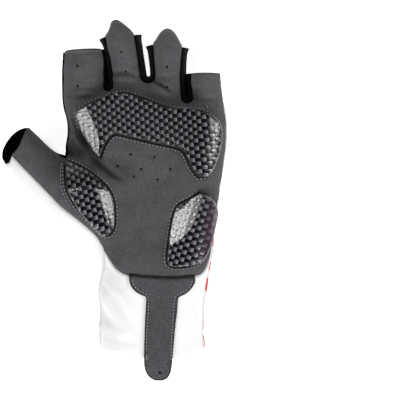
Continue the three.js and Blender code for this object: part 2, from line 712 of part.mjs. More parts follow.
function palmPanel() {
  const fork = palmWeb([web.mark.fork])[0];
  const shared = between(wristCorner, THUMB_ROOT_PALM, fork, spread(0, 1, SHARED_ROWS));
  const leftEdge = [...lowerEdge(lowerSteps.left, HALF_SEAM).slice(1).reverse(), wristCorner];
  const rightEdge = [...lowerEdge(lowerSteps.right, HALF_SEAM).slice(0, -1), heelCorner];
  const bottom = lowerEdge(lowerSteps.middle, HALF_SEAM);
  const left = chain(leftEdge, shared, palmWeb(stretch.hand));
  const right = chain(rightEdge, palmLittle(stretch.handLittle));
  const thumbTop = palmWeb(stretch.thumb);
  const thumbSeam = palmOuter(stretch.thumbOuter);
  const across = fan(at(outer, outer.mark.mouth).seam, 180 - WEB_SEAM, SHARED_ROWS);
  const mouth = between(thumbSeam[0], [...MOUTH_PALM].reverse(), thumbTop[0], across);
  const grids = [
    patch(bottom, palmFingers.knuckle, left, right),
    ...palmFingers.grids,
    patch(thumbSeam, thumbTop, mouth, shared),
  ];
  return panel(grids.map(palmSide), SUEDE_WALL);
}

// Back
const backFingers = fingers(GAP_NAMES, stripSeamBack, ["leftBack", "rightBack"],
  spread(web.mark.knuckle, web.mark.tip - BACK_CUT, FINGER_ROWS).map((d) => reach(d, HALF_SEAM)),
  spread(little.mark.knuckle, little.mark.tip - BACK_CUT, FINGER_ROWS).map((d) => rim(little, d)), [
    fan(WEB_ANGLE, 180 - SIDE_SEAM_BACK, BACK_COLUMNS[0]),
    fan(SIDE_SEAM_BACK, 180 - SIDE_SEAM_BACK, BACK_COLUMNS[1]),
    fan(SIDE_SEAM_BACK, 180 - SIDE_SEAM_BACK, BACK_COLUMNS[2]),
    fan(SIDE_SEAM_BACK, 180, BACK_COLUMNS[3]),
  ], [[], [], [], []]);

const mouthStart = rim(web, web.mark.mouth);
const mouthEnd = rim(outer, outer.mark.mouth);
const webCorner = { x: MOUTH_BACK[MOUTH_WEB][0], y: MOUTH_BACK[MOUTH_WEB][1] };

// Along the thumb's mouth, which runs at 45 degrees, positive towards the web
function shifted({ x, y }, amount) {
  return { x: x + amount * Math.SQRT1_2, y: y + amount * Math.SQRT1_2 };
}

function wrap(curve, distances, columns) {
  const inner = distances.map((distance) => seam(curve, distance, -HALF_SEAM));
  return ruled(distances.map((distance) => rim(curve, distance)), inner, fan(0, WRAP_ANGLE, columns));
}

function backPanel() {
  const fork = reach(web.mark.fork, HALF_SEAM);
  const wrist = rim(outer, outer.mark.wrist);
  const shared = between(wrist, THUMB_ROOT_BACK, fork, spread(0, 1, SHARED_ROWS));
  const left = chain(
    [...stretch.cuffOuter].reverse().map((distance) => rim(outer, distance)),
    shared,
    stretch.hand.map((distance) => reach(distance, HALF_SEAM)),
  );
  const right = chain(stretch.cuffLittle, stretch.handLittle).map((distance) => rim(little, distance));
  const knuckle = line(backFingers.knuckle);
  const shares = knuckle.lengths.map((length) => length / knuckle.length);
  const bottom = between(left[0], HEM, right[0], shares);
  const start = shifted(webCorner, -HALF_SEAM);
  const thumbWeb = stretch.thumb.map((distance, i) => (i === 0 ? start : reach(distance, HALF_SEAM)));
  const thumbRim = stretch.thumbOuter.map((distance) => rim(outer, distance));
  const mouth = between(mouthEnd, [...MOUTH_BACK.slice(MOUTH_WEB + 1)].reverse(), start,
    spread(0, 1, SHARED_ROWS));
  const backs = [
    patch(bottom, backFingers.knuckle, left, right),
    ...backFingers.grids,
    patch(thumbRim, thumbWeb, mouth, shared),
  ];
  const littleTop = spread(little.mark.knuckle, little.mark.tip - BACK_CUT, FINGER_ROWS);
  const wraps = [
    wrap(outer, chain(stretch.thumbOuter, stretch.cuffOuter), OUTER_WRAP_COLUMNS),
    wrap(little, chain(stretch.cuffLittle, stretch.handLittle, littleTop), LITTLE_WRAP_COLUMNS),
  ];
  return panel([...backs.map(backSide), ...wraps.map(palmSide)], CLOTH_WALL);
}

// Every so many values of a list, and its last one
function thin(list, step) {
  return list.filter((_, i) => i % step === 0 || i === list.length - 1);
}

// Inner side of the cuff
function wristPanel() {
  const top = chain(lowerSteps.left, thin(lowerSteps.middle, CUFF_THIN), lowerSteps.right);
  const upper = lowerEdge(top, -HALF_SEAM);
  const left = [...stretch.cuffOuter].reverse().map((distance) => seam(outer, distance, HALF_SEAM));
  const right = stretch.cuffLittle.map((distance) => seam(little, distance, HALF_SEAM));
  left[left.length - 1] = seam(outer, outer.mark.wrist - CORNER_GAP, HALF_SEAM);
  right[right.length - 1] = seam(little, little.mark.heel - CORNER_GAP, HALF_SEAM);
  upper[0] = left.at(-1);
  upper[upper.length - 1] = right.at(-1);
  const measure = line(upper);
  const bottom = between(left[0], HEM, right[0], measure.lengths.map((length) => length / measure.length));
  return panel([palmSide(patch(bottom, upper, left, right))], CLOTH_WALL);
}

// Strips between the fingers
function fourchette(name) {
  const curve = gaps[name];
  const flat = ({ left, bottom, right }) => chain(left, bottom, right);
  const front = flat(gapSteps(curve, curve.mark.leftTop, curve.mark.rightTop));
  const back = flat(gapSteps(curve, curve.mark.leftBack, curve.mark.rightBack));
  const edge = front.map((distance) => rim(curve, distance));
  const palm = front.map((distance) => stripSeam(curve, distance, -HALF_SEAM));
  const rear = back.map((distance) => stripSeamBack(curve, distance, -HALF_SEAM));
  return panel([
    palmSide(ruled(edge, palm, fan(0, SIDE_SEAM, STRIP_COLUMNS))),
    backSide(ruled(edge, rear, fan(0, SIDE_SEAM_BACK, STRIP_COLUMNS))),
  ], CLOTH_WALL);
}

// Strip round the fork of thumb and index finger
function webPatch() {
  const distances = chain(stretch.thumb, stretch.hand, stretch.index);
  const edge = distances.map((distance) => rim(web, distance));
  const palm = distances.map((distance) => seam(web, distance, -HALF_SEAM));
  const cutIndex = spread(web.mark.knuckle, web.mark.tip - BACK_CUT, FINGER_ROWS);
  const far = chain(stretch.thumb, stretch.hand, cutIndex).map((distance) => reach(distance, -HALF_SEAM));
  far[0] = shifted(webCorner, HALF_SEAM);
  const shares = fan(0, WEB_ANGLE, WEB_COLUMNS);
  const mouth = between(mouthStart, MOUTH_BACK.slice(0, MOUTH_WEB), far[0], shares);
  const tip = between(edge.at(-1), [], far.at(-1), shares);
  return panel([
    palmSide(ruled(edge, palm, [0, 1])),
    backSide(patch(mouth, tip, edge, far)),
  ], CLOTH_WALL);
}

// Raised pads, lying on the palm with a bevelled border and one wide facet
function raised(grid, gap, rise) {
  const base = lifted(grid, PALM).grid;
  const under = [];
  const over = [];
  base.forEach((row, j) => row.forEach((point, i) => {
    under.push(point.clone().addScaledVector(point.out, gap));
    over.push(point.clone().addScaledVector(point.out, gap + rise(point, j, i)));
  }));
  return slab(over, under, grid.length, grid[0].length);
}

// Closed solid between two grids of points, the upper one first
function slab(over, under, rows, columns) {
  const triangles = [];
  for (let j = 0; j < rows - 1; j++) {
    for (let i = 0; i < columns - 1; i++) {
      const a = j * columns + i;
      const c = a + columns + 1;
      triangles.push([a, a + 1, c], [a, c, c - 1]);
    }
  }
  const [a, b, c] = triangles[0].map((i) => over[i]);
  const upright = b.clone().sub(a).cross(c.clone().sub(a)).z > 0;
  return closed(over, under, upright ? triangles : triangles.map(([p, q, r]) => [p, r, q]));
}

function facetHeight({ x, y, faces, tilt }, point) {
  const facing = (faces * Math.PI) / 180;
  const past = (point.x - x) * Math.cos(facing) + (point.y - y) * Math.sin(facing);
  return PAD_HEIGHT - Math.max(past, 0) * Math.tan((tilt * Math.PI) / 180);
}

function pad(name) {
  const rows = PAD_ROWS[name];
  const first = line(smoothRows(rows.map((row) => ({ x: row.ax, y: row.ay })), STEPS));
  const second = line(smoothRows(rows.map((row) => ({ x: row.bx, y: row.by })), STEPS));
  const stations = [0, ...spread(PAD_END, 1 - PAD_END, Math.round(first.length / PAD_STATION)), 1];
  const grid = stations.map((station) => {
    const a = at(first, station * first.length);
    const b = at(second, station * second.length);
    const border = Math.min(PAD_BEVEL / Math.hypot(a.x - b.x, a.y - b.y), PAD_BEVEL_SHARE);
    return [0, border, 1 / 3, 1 / 2, 2 / 3, 1 - border, 1].map((share) => ({
      x: a.x + share * (b.x - a.x),
      y: a.y + share * (b.y - a.y),
    }));
  });
  const last = stations.length - 1;
  const onBorder = (j, i) => j === 0 || j === last || i === 0 || i === grid[0].length - 1;
  return raised(grid, PAD_GAP, (point, j, i) => (
    onBorder(j, i) ? PAD_EDGE : Math.max(facetHeight(PAD_FACETS[name], point), PAD_EDGE)));
}

// Strap: sewn on the cuff, then free past the hem
function strap() {
  const shares = spread(0, 1, STRAP_COLUMNS);
  const rows = STRAP_ROWS.map((row) => shares.map((share) => ({
    x: row.left + share * (row.right - row.left),
    y: row.y,
  })));
  const hemRow = STRAP_ROWS.findIndex((row) => row.name === "hem");
  const freeLength = STRAP_ROWS[hemRow].y - STRAP_ROWS.at(-1).y;
  const under = [];
  const over = [];
  rows.forEach((row, j) => row.forEach((point, i) => {
    const held = j <= hemRow ? point : rows[hemRow][i];
    const past = (held.y - point.y) / freeLength;
    const z = sheetPoint(held, PALM).z + PAD_GAP - STRAP_DROOP * past * past;
    under.push(new THREE.Vector3(point.x, point.y, z));
    over.push(new THREE.Vector3(point.x, point.y, z + STRAP_WALL));
  }));
  return slab(over, under, rows.length, shares.length);
}

function mesh(name, geometry, color, roughness) {
  const piece = new THREE.Mesh(geometry, new THREE.MeshStandardMaterial({ color, roughness, metalness: 0 }));
  piece.name = name;
  return piece;
}

const glove = new THREE.Group();
glove.add(
  mesh("palm_panel", palmPanel(), COLOUR.suede, 0.9),
  mesh("back_panel", backPanel(), COLOUR.cloth, 0.85),
  mesh("wrist_panel", wristPanel(), COLOUR.cloth, 0.85),
  mesh("web_patch", webPatch(), COLOUR.film, 0.3),
  mesh("pull_strap", strap(), COLOUR.strap, 0.9),
);
for (const name of GAP_NAMES) {
  glove.add(mesh(`fourchette_${name}`, fourchette(name), COLOUR.stretch, 0.8));
}
for (const name of Object.keys(PAD_ROWS)) {
  glove.add(mesh(name, pad(name), COLOUR.film, 0.3));
}

export default glove;
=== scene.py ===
import bpy
import numpy as np
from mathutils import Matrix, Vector


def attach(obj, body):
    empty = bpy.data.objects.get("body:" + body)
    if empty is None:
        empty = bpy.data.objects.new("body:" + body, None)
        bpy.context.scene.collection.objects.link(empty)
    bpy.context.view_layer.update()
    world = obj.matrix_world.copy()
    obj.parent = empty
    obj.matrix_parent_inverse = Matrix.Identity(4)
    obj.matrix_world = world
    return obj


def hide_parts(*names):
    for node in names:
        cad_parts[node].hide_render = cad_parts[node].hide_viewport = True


# Short-fingered cycling glove for the left hand, lying on its back with the palm up.
# Lengths are worked out in millimetres, in the frame's own axes, and turned to metres in the meshes.

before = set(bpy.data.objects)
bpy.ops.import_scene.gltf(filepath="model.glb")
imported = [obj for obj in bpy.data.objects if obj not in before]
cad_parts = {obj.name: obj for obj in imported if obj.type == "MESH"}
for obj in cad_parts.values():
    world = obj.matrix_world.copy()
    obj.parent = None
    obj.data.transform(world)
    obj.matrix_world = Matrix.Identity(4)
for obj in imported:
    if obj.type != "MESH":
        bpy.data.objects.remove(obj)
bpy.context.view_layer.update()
metre = 0.001
batch = 4096  # points worked out at a time, to spare memory
touching = 0.01  # mm from a line, within which a point counts as on it
sewnFrom = 0.05  # mm from a cut edge, past which a point of the border counts as sewn
thinnest = 0.35  # mm of cloth left under the deepest furrow
print("frame loaded, nodes:", len(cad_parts))


def placeObject(name, data):
    # A new object in the scene, at the origin and unturned
    placed = bpy.data.objects.new(name, data)
    bpy.context.scene.collection.objects.link(placed)
    return placed


# Camera straight above the middle of the photograph, as far off as its perspective asks
view = {"x": 51.6, "y": 0, "height": 1100, "glove": 20, "width": 240, "sensor": 36}


def makeCamera():
    # Focal length: sensor width times the distance to the glove, over the width seen there
    data = bpy.data.cameras.new("photoCamera")
    data.sensor_width = view["sensor"]
    data.lens = view["sensor"] * (view["height"] - view["glove"]) / view["width"]
    camera = placeObject("photoCamera", data)
    camera.location = (view["x"] * metre, view["y"] * metre, view["height"] * metre)
    bpy.context.scene.camera = camera


makeCamera()

# The glove's form in plan, the same rows as the solids have: side lines, finger gaps and thickness
form = {
    "steps": 12,  # samples between two rows
    "outer": {  # hem, wrist, thumb's mouth: x, y, how far in it is rounded, degrees round it to the palm seam
        "rows": [
            (-9.4, -110, 17, 24), (-9.4, -87.5, 17, 24), (-9.8, -78, 17, 24), (-8.8, -67, 17, 24),
            (-10.1, -55, 17, 24), (-8.6, -46, 17, 26), (-7.8, -39, 17, 32), (-9.6, -32.5, 16, 40),
            (-13.8, -26.2, 15, 48), (-23, -19.2, 14, 57), (-35.5, -9.8, 13, 62), (-44.4, -0.4, 13, 62),
            (-56.4, 12, 13, 62), (-65.7, 21.7, 13, 62), (-76, 32, 13, 62),
        ],
        "marks": {"hem": 1, "wrist": 7, "mouth": 13},
    },
    "little": {  # hem to the little finger's tip, the same columns
        "rows": [
            (54.6, -110, 17, 24), (54.5, -89.5, 17, 24), (54.2, -79, 17, 24), (54.4, -70, 17, 24),
            (55.2, -58.8, 17, 24), (57, -46.5, 18, 20), (58.9, -34, 18, 12), (60, -24.5, 18, 8),
            (61.8, -8, 18, 8), (63.8, 7, 18, 8), (65.9, 20, 18, 8), (67.3, 31, 18, 8), (67.9, 41, 16, 8),
            (67.1, 51, 14, 8), (65.4, 62, 12, 8), (64.5, 70, 11, 8), (64.3, 76.4, 11, 8), (64.2, 95, 11, 8),
        ],
        "marks": {"hem": 1, "heel": 7, "knuckle": 14, "tip": 16},
    },
    "web": {  # thumb's mouth, fork, index finger's tip: and last how far the web patch covers the back
        "rows": [
            (-61, 53.1, 13, 6, 13), (-51.3, 43.5, 13, 6, 13), (-45.4, 37.7, 13, 6, 12),
            (-39.6, 32, 14, 6, 11), (-35.2, 28.6, 17, 6, 10.5), (-31.8, 26.5, 21, 6, 10),
            (-29.3, 25.9, 24, 6, 10), (-28.4, 28.6, 22, 6, 9.5), (-28.1, 33, 18, 6, 9),
            (-27.2, 40, 15, 6, 8.5), (-28, 48, 13, 6, 8), (-30.4, 57, 12.5, 6, 8), (-31, 68, 12.5, 6, 8),
            (-30.9, 79, 12.5, 6, 8), (-30.3, 89, 12.5, 6, 8), (-29.8, 108, 12.5, 6, 8),
        ],
        "marks": {"mouth": 1, "forkStart": 4, "fork": 6, "forkEnd": 8, "knuckle": 12, "tip": 14},
    },
    "gaps": [  # middle of the gap x, y, half its width, black strip shown at its left and at its right
        {
            "name": "index_middle", "leftTop": 91, "rightTop": 97.2, "floor": 3,
            "rows": [
                (-14.6, 118, 0.4, 0.5, 2.5), (-8.95, 98, 0.4, 0.5, 2.5), (-6.45, 91.2, 0.4, 0.5, 1.4),
                (-4.95, 84, 0.4, 0.6, 1.7), (-4.15, 77, 0.4, 1.1, 1.9), (-3.75, 69.6, 0.4, 1.8, 2.1),
            ],
        },
        {
            "name": "middle_ring", "leftTop": 99.7, "rightTop": 92.8, "floor": 3.8,
            "rows": [
                (14, 118, 1.4, 3.4, 3.4), (17.2, 99, 1.4, 3.4, 3.4), (18.2, 92.6, 1.4, 3.2, 3.2),
                (19.1, 86.5, 1.4, 3.2, 2.7), (20, 80, 1.3, 3.3, 2.3), (20.4, 75.8, 1.1, 3.4, 2.6),
            ],
        },
        {
            "name": "ring_little", "leftTop": 91.6, "rightTop": 76.2, "floor": 3.5,
            "rows": [
                (46, 112, 0.4, 2.4, 2.3), (44.3, 92, 0.4, 2.4, 2.3), (43.55, 84, 0.4, 2.6, 2),
                (43.35, 76.5, 0.4, 2.8, 1.7), (43.55, 69.5, 0.4, 2.9, 1.7), (44, 62.6, 0.4, 2.9, 2.1),
            ],
        },
    ],
    "gapRound": 12, "forkRound": 13,  # how far in the side is rounded, as in the rows
    "backCut": 4, "backSeam": 32,  # fingers' backs end lower; their seams lie so many degrees round
    "thickness": [  # y, half thickness below and above the side seams
        (-100, 12.5, 12.5), (-60, 12.5, 12.5), (-25, 12, 15), (15, 12, 16), (45, 11, 14), (72, 9, 10.5),
        (110, 8, 8.5),
    ],
    "humps": [  # x, y, half width, half length, height
        (-14, -4, 19, 24, 2), (45, -14, 18, 28, 1.5), (15, 8, 19, 22, -4), (-14, 24, 17, 8, -2.5),
        (4, -62, 8, 15, 1.6), (-2, -72, 6, 10, -1.4), (47, -66, 5, 16, -1.2),
    ],
    "curl": {"ramp": (45, 60), "rise": 5},  # over y; a ramp is where it starts and over how much
    "thumb": {"ramp": (-24, -42), "rise": 10, "below": 10, "above": 10},  # over x
    "tips": [  # upper ends of the palm's finger strips, from the thumb's side on
        [(-28.6, 90), (-17.4, 90.7), (-9.4, 91.1)],
        [(-3.3, 102), (-1.6, 106.6), (0.8, 108.1), (3.6, 107.3), (9.4, 102.9)],
        [(25.4, 97.2), (28.2, 100.9), (32.2, 102.8), (36.4, 100.4), (39.4, 95.6)],
        [(55, 76.4)],
    ],
    "lower": [  # palm's lower edge
        (-4.2, -34), (-0.4, -39.2), (3.8, -42.8), (9, -44.8), (21.6, -46.3), (36.6, -46.6), (48, -45.6),
        (53.4, -43.6), (57.2, -37.4),
    ],
    "lowerLeft": 4, "lowerRight": 8,  # its rows below the ends of the thumb's and the little finger's sides
    "thumbLine": [(-17, -6)], "thumbLineBack": [(-19, -5)],  # way between the thumb's patch and the hand's
    "hem": [(-6.4, -89.6), (9.6, -93), (27.6, -95.1), (45.6, -93.6)],
    "mouthBack": [(-54, 43.8), (-58.4, 42.2), (-62.6, 38.8), (-66, 34.2), (-67.8, 29.6), (-67.7, 25.2)],
    "mouthWeb": 3,  # the row where the web strip's edge meets the mouth
    "mouthPalm": [(-53.4, 38.3), (-56.4, 31.8)],
    "halfGap": 0.04,  # between two panels of a seam, where the solids have 0.15
    "perMillimetre": 200,  # steps to which the points of two patches agree where they are one
    "degrees": {  # of seams and bands round the sides, for the spacing of the columns
        "web": 6, "little": 8, "strip": 38, "mouth": 62, "webBack": 70, "wrap": 60,
    },
}
half = form["halfGap"]


def smoothRows(rows):
    # Catmull-Rom: between two rows each column is a cubic, level with half the step from row to next row
    rows = np.asarray(rows, float)
    ends = np.vstack([rows[:1], rows, rows[-1:]])
    a, b, c, d = (ends[i:i + len(rows) - 1, None] for i in range(4))
    u = (np.arange(form["steps"]) / form["steps"])[None, :, None]
    cubic = b + 0.5 * ((c - a) * u + (2 * a - 5 * b + 4 * c - d) * u ** 2 + (3 * b - a - 3 * c + d) * u ** 3)
    return np.vstack([cubic.reshape(-1, rows.shape[1]), rows[-1:]])


def makeLine(rows, hand=1):
    # Distance is the sum of the steps; inward is the tangent turned a quarter to the glove's side
    rows = np.asarray(rows, float)
    step = np.hypot(np.diff(rows[:, 0]), np.diff(rows[:, 1]))
    distance = np.concatenate([[0], np.cumsum(step)])
    tangent = np.gradient(rows[:, :2], distance, axis=0)
    tangent /= np.linalg.norm(tangent, axis=1)[:, None]
    inward = hand * np.stack([tangent[:, 1], -tangent[:, 0]], axis=1)
    return {"rows": rows, "distance": distance, "inward": inward, "hand": hand, "length": distance[-1]}


def onLine(curve, distance, inward=0.0):
    # Every column read off between the samples, and x and y moved inward
    def read(values):
        return np.interp(distance, curve["distance"], values)
    rows = np.stack([read(column) for column in curve["rows"].T], axis=1)
    rows[:, 0] += inward * read(curve["inward"][:, 0])
    rows[:, 1] += inward * read(curve["inward"][:, 1])
    return rows


def plan(rows, rim=0):
    # x, y and whether the point lies on the side line itself
    return np.column_stack([rows[:, :2], np.full(len(rows), float(rim))])


def makeSide(table, hand):
    # The smooth line through the rows, and the distance along it to each row with a name
    curve = makeLine(smoothRows(table["rows"]), hand)
    for name, row in table["marks"].items():
        curve[name] = curve["distance"][row * form["steps"]]
    return curve


def makeGap(table):
    # Down the left side, round the bottom on a half circle of half the gap's width, and up the right side
    centre = smoothRows(table["rows"])
    x, y, beside, stripLeft, stripRight = centre.T
    turn = np.radians(np.linspace(180, 360, form["steps"] + 1)[1:-1])
    along, down = np.cos(turn), -np.sin(turn)
    strip = np.where(along < 0, stripLeft[-1], stripRight[-1])
    rounded = np.full(len(centre), form["gapRound"])
    left = np.column_stack([x - beside, y, rounded, stripLeft])
    right = np.column_stack([x + beside, y, rounded, stripRight])[::-1]
    bottom = np.column_stack([
        x[-1] + beside[-1] * along, y[-1] - beside[-1] * down, np.full(len(turn), form["forkRound"]),
        strip + (table["floor"] - strip) * down,
    ])
    curve = makeLine(np.vstack([left, bottom, right]))
    count = len(left)
    lengths = curve["distance"]
    curve["bend"] = lengths[count - 1]
    curve["unbend"] = lengths[count + len(bottom)]
    for name, cut in (("", 0), ("Back", form["backCut"])):
        curve["leftTop" + name] = np.interp(table["leftTop"] - cut, y[::-1], lengths[:count][::-1])
        curve["rightTop" + name] = np.interp(table["rightTop"] - cut, y[::-1], lengths[-count:])
    curve["name"], curve["half"] = table["name"], table["rows"][0][2]
    return curve


outer = makeSide(form["outer"], 1)
little = makeSide(form["little"], -1)
web = makeSide(form["web"], 1)
gaps = [makeGap(table) for table in form["gaps"]]
edges = [outer, little, web, *gaps]


def nearLine(curve, x, y):
    # Foot of each point on the closest straight piece: distance, share along, rounding and way inward
    rows = curve["rows"]
    rounded = rows[:, 2] if rows.shape[1] > 2 else np.ones(len(rows))
    start, run = rows[:-1, :2], np.diff(rows[:, :2], axis=0)
    square = (run ** 2).sum(axis=1)
    found = {key: np.empty(len(x)) for key in ("distance", "along", "round", "inX", "inY")}
    for first in range(0, len(x), batch):
        part = slice(first, first + batch)
        offX = x[part, None] - start[None, :, 0]
        offY = y[part, None] - start[None, :, 1]
        share = np.clip((offX * run[:, 0] + offY * run[:, 1]) / square, 0, 1)
        offX -= share * run[:, 0]
        offY -= share * run[:, 1]
        distance = np.hypot(offX, offY)
        best = distance.argmin(axis=1)
        row = np.arange(len(best))
        share, distance = share[row, best], distance[row, best]
        close = distance < touching
        length = np.sqrt(square[best])
        safe = np.where(close, 1, distance)
        found["distance"][part] = distance
        found["along"][part] = curve["distance"][best] + share * length
        found["round"][part] = rounded[best] + share * (rounded[best + 1] - rounded[best])
        found["inX"][part] = np.where(close, curve["hand"] * run[best, 1] / length, offX[row, best] / safe)
        found["inY"][part] = np.where(close, -curve["hand"] * run[best, 0] / length, offY[row, best] / safe)
    return found


def smoothStep(t):
    # Three times the square less twice the cube, between 0 and 1
    t = np.clip(t, 0, 1)
    return t * t * (3 - 2 * t)


def ramp(value, start, over):
    # Smooth step from 0 at start to 1 so far past it, or so far before it where over is negative
    return smoothStep((value - start) / over)


thicknessRows = smoothRows(form["thickness"])


def section(x, y):
    # Half thicknesses and lift: read along the hand, blended to the thumb's own, raised by the fingers' curl
    thumb = ramp(x, *form["thumb"]["ramp"])
    below = np.interp(y, thicknessRows[:, 0], thicknessRows[:, 1])
    above = np.interp(y, thicknessRows[:, 0], thicknessRows[:, 2])
    below = below + thumb * (form["thumb"]["below"] - below)
    above = above + thumb * (form["thumb"]["above"] - above)
    curl = ramp(y, *form["curl"]["ramp"])
    return below, above, form["curl"]["rise"] * curl + form["thumb"]["rise"] * thumb


def relief(x, y):
    # Sum of oval humps, each a bell in x and y
    return sum(
        height * np.exp(-((x - atX) / wide) ** 2 - ((y - atY) / long) ** 2)
        for atX, atY, wide, long, height in form["humps"])


def sheetHeight(x, y, full, up):
    # On the palm side, lift, both half thicknesses and the humps; on the back, what is left of the lower half
    below, above, lift = section(x, y)
    if up:
        return lift + below + above * full + relief(x, y) * full ** 2
    return lift + below * (1 - full)


def sheetPoints(x, y, rim, up):
    # Full is the product over the side lines of the sine that a quarter circle has at that distance in.
    # Out is across the sheet: its height's gain with full times full's slope, and the height's own slope.
    near = [nearLine(edge, x, y) for edge in edges]
    cosines = [1 - np.minimum(n["distance"] / n["round"], 1) for n in near]
    sines = [np.sqrt(1 - cosine ** 2) for cosine in cosines]
    free = np.prod(sines, axis=0)
    slopeX, slopeY = np.zeros(len(x)), np.zeros(len(x))
    unrollX, unrollY = np.zeros(len(x)), np.zeros(len(x))
    for k, n in enumerate(near):
        others = np.prod([sine for i, sine in enumerate(sines) if i != k], axis=0)
        slopeX += cosines[k] / n["round"] * n["inX"] * others ** 2
        slopeY += cosines[k] / n["round"] * n["inY"] * others ** 2
        # unrolled plan: the arc from the rim laid flat, outwards from where the rounding starts
        arc = np.arccos(np.clip(cosines[k], -1, 1))
        turned = np.pi / 2 + arc if up else np.pi / 2 - arc
        extra = np.where(cosines[k] > 0, n["distance"] - n["round"] + n["round"] * turned, 0)
        unrollX -= n["inX"] * extra
        unrollY -= n["inY"] * extra
    full = np.where(rim > 0.5, 0, free)
    below, above, _ = section(x, y)
    gain = above + 2 * relief(x, y) * full if up else -below
    step = 0.25
    driftX = (sheetHeight(x + step, y, full, up) - sheetHeight(x - step, y, full, up)) / (2 * step)
    driftY = (sheetHeight(x, y + step, full, up) - sheetHeight(x, y - step, full, up)) / (2 * step)
    out = np.stack([-gain * slopeX - full * driftX, -gain * slopeY - full * driftY, full], axis=1)
    out /= np.linalg.norm(out, axis=1)[:, None] * (1 if up else -1)
    points = np.stack([x, y, sheetHeight(x, y, full, up)], axis=1)
    return points, out, np.stack([x + unrollX, y + unrollY], axis=1)


def insetBy(rounded, degrees):
    # Distance in plan from the side line to a point so many degrees round the side
    return rounded * (1 - np.cos(np.radians(degrees)))


def widened(rounded, degrees, widen):
    # The same for a point some millimetres further round
    return insetBy(rounded, degrees + np.degrees(widen / rounded))


def seamOf(curve, distance, widen):
    # Palm seam in plan: as far in from the side line as its own degrees round the side put it
    rows = onLine(curve, distance)
    return plan(onLine(curve, distance, widened(rows[:, 2], rows[:, 3], widen)))


def stripSeam(curve, distance, widen):
    # As far in from a finger gap as its black strip shows
    rows = onLine(curve, distance)
    degrees = np.degrees(np.arccos(1 - rows[:, 3] / rows[:, 2]))
    return plan(onLine(curve, distance, widened(rows[:, 2], degrees, widen)))


def stripSeamBack(curve, distance, widen):
    # The same on the back, where every strip goes as many degrees round
    rows = onLine(curve, distance)
    return plan(onLine(curve, distance, widened(rows[:, 2], form["backSeam"], widen)))


def rimOf(curve, distance):
    # The side line itself
    return plan(onLine(curve, distance), 1)


def reachOf(distance, widen):
    # Edge of the web strip on the back: the side line moved in by its last column
    return plan(onLine(web, distance, onLine(web, distance)[:, 4] + widen))


def spread(start, end, count):
    # Even steps, both ends included
    return np.linspace(start, end, count + 1)


def chain(*lists):
    # Lists joined end to start, with each shared point kept once
    return np.concatenate([lists[0], *[part[1:] for part in lists[1:]]])


def fan(start, end, count):
    # Shares of a width that step evenly round an arc
    first, last = np.cos(np.radians([start, end]))
    return (first - np.cos(np.radians(spread(start, end, count)))) / (first - last)


def between(start, via, end, shares):
    # Points at shares of a smooth line from start to end by way of the points between
    stops = np.vstack([start[:2], np.reshape(via, (-1, 2)), end[:2]])
    curve = makeLine(smoothRows(stops))
    points = plan(onLine(curve, shares * curve["length"]))
    points[0], points[-1] = start, end
    return points


def shareAlong(points):
    # Length up to each point over the whole length
    length = np.concatenate([[0], np.cumsum(np.hypot(*np.diff(points[:, :2], axis=0).T))])
    return length / length[-1]


def patch(bottom, top, left, right):
    # Coons patch: the sheets ruled between opposite sides, less the sheet between the corners
    u = ((shareAlong(bottom) + shareAlong(top)) / 2)[None, :, None]
    v = ((shareAlong(left) + shareAlong(right)) / 2)[:, None, None]
    corners = ((1 - u) * (1 - v) * bottom[0] + u * (1 - v) * bottom[-1]
               + (1 - u) * v * top[0] + u * v * top[-1])
    grid = (1 - v) * bottom + v * top + (1 - u) * left[:, None] + u * right[:, None] - corners
    grid[..., 2] = 0
    grid[0], grid[-1], grid[:, 0], grid[:, -1] = bottom, top, left, right
    return grid


def ruled(first, second, shares):
    # Straight across from one line to the other at the given shares
    grid = first[:, None] + shares[None, :, None] * (second - first)[:, None]
    grid[..., 2] = 0
    grid[:, 0], grid[:, -1] = first, second
    return grid


def gridQuads(index):
    # Faces between neighbouring rows and columns of a grid of point numbers
    corners = [index[:-1, :-1], index[:-1, 1:], index[1:, 1:], index[1:, :-1]]
    return np.stack(corners, axis=-1).reshape(-1, 4)


def weld(patches):
    # Patches of one panel as one sheet: points that meet are kept once, and faces point out of the glove
    points, outs, flats, quads = [], [], [], []
    count = 0
    for grid, up in patches:
        rows, columns = grid.shape[:2]
        place, out, unrolled = sheetPoints(*grid.reshape(-1, 3).T, up)
        index = count + np.arange(rows * columns).reshape(rows, columns)
        quad = gridQuads(index)
        across, along = grid[1:, 1:] - grid[:-1, :-1], grid[1:, :-1] - grid[:-1, 1:]
        area = (across[..., 0] * along[..., 1] - across[..., 1] * along[..., 0]).sum()
        quads.append(quad if (area > 0) == up else quad[:, ::-1])
        points.append(place)
        outs.append(out)
        flats.append(unrolled)
        count += rows * columns
    points = np.vstack(points)
    key = np.round(points * form["perMillimetre"]).astype(np.int64)
    _, first, place = np.unique(key, axis=0, return_index=True, return_inverse=True)
    place = place.reshape(-1)
    sheet = {
        "points": points[first], "out": np.vstack(outs)[first], "flat": np.vstack(flats)[first],
        "quads": place[np.vstack(quads)],
    }
    sheet["quads"] = sheet["quads"][np.array([len(set(q)) > 2 for q in sheet["quads"].tolist()])]
    sheet["border"] = borderOf(sheet["quads"])
    return sheet


def borderOf(quads):
    # Edges that only one face has, from their first point to their second
    ends = np.stack([quads, np.roll(quads, -1, axis=1)], axis=-1).reshape(-1, 2)
    ends = ends[ends[:, 0] != ends[:, 1]]
    size = quads.max() + 1
    code, back = ends[:, 0] * size + ends[:, 1], ends[:, 1] * size + ends[:, 0]
    return ends[~np.isin(code, back)]


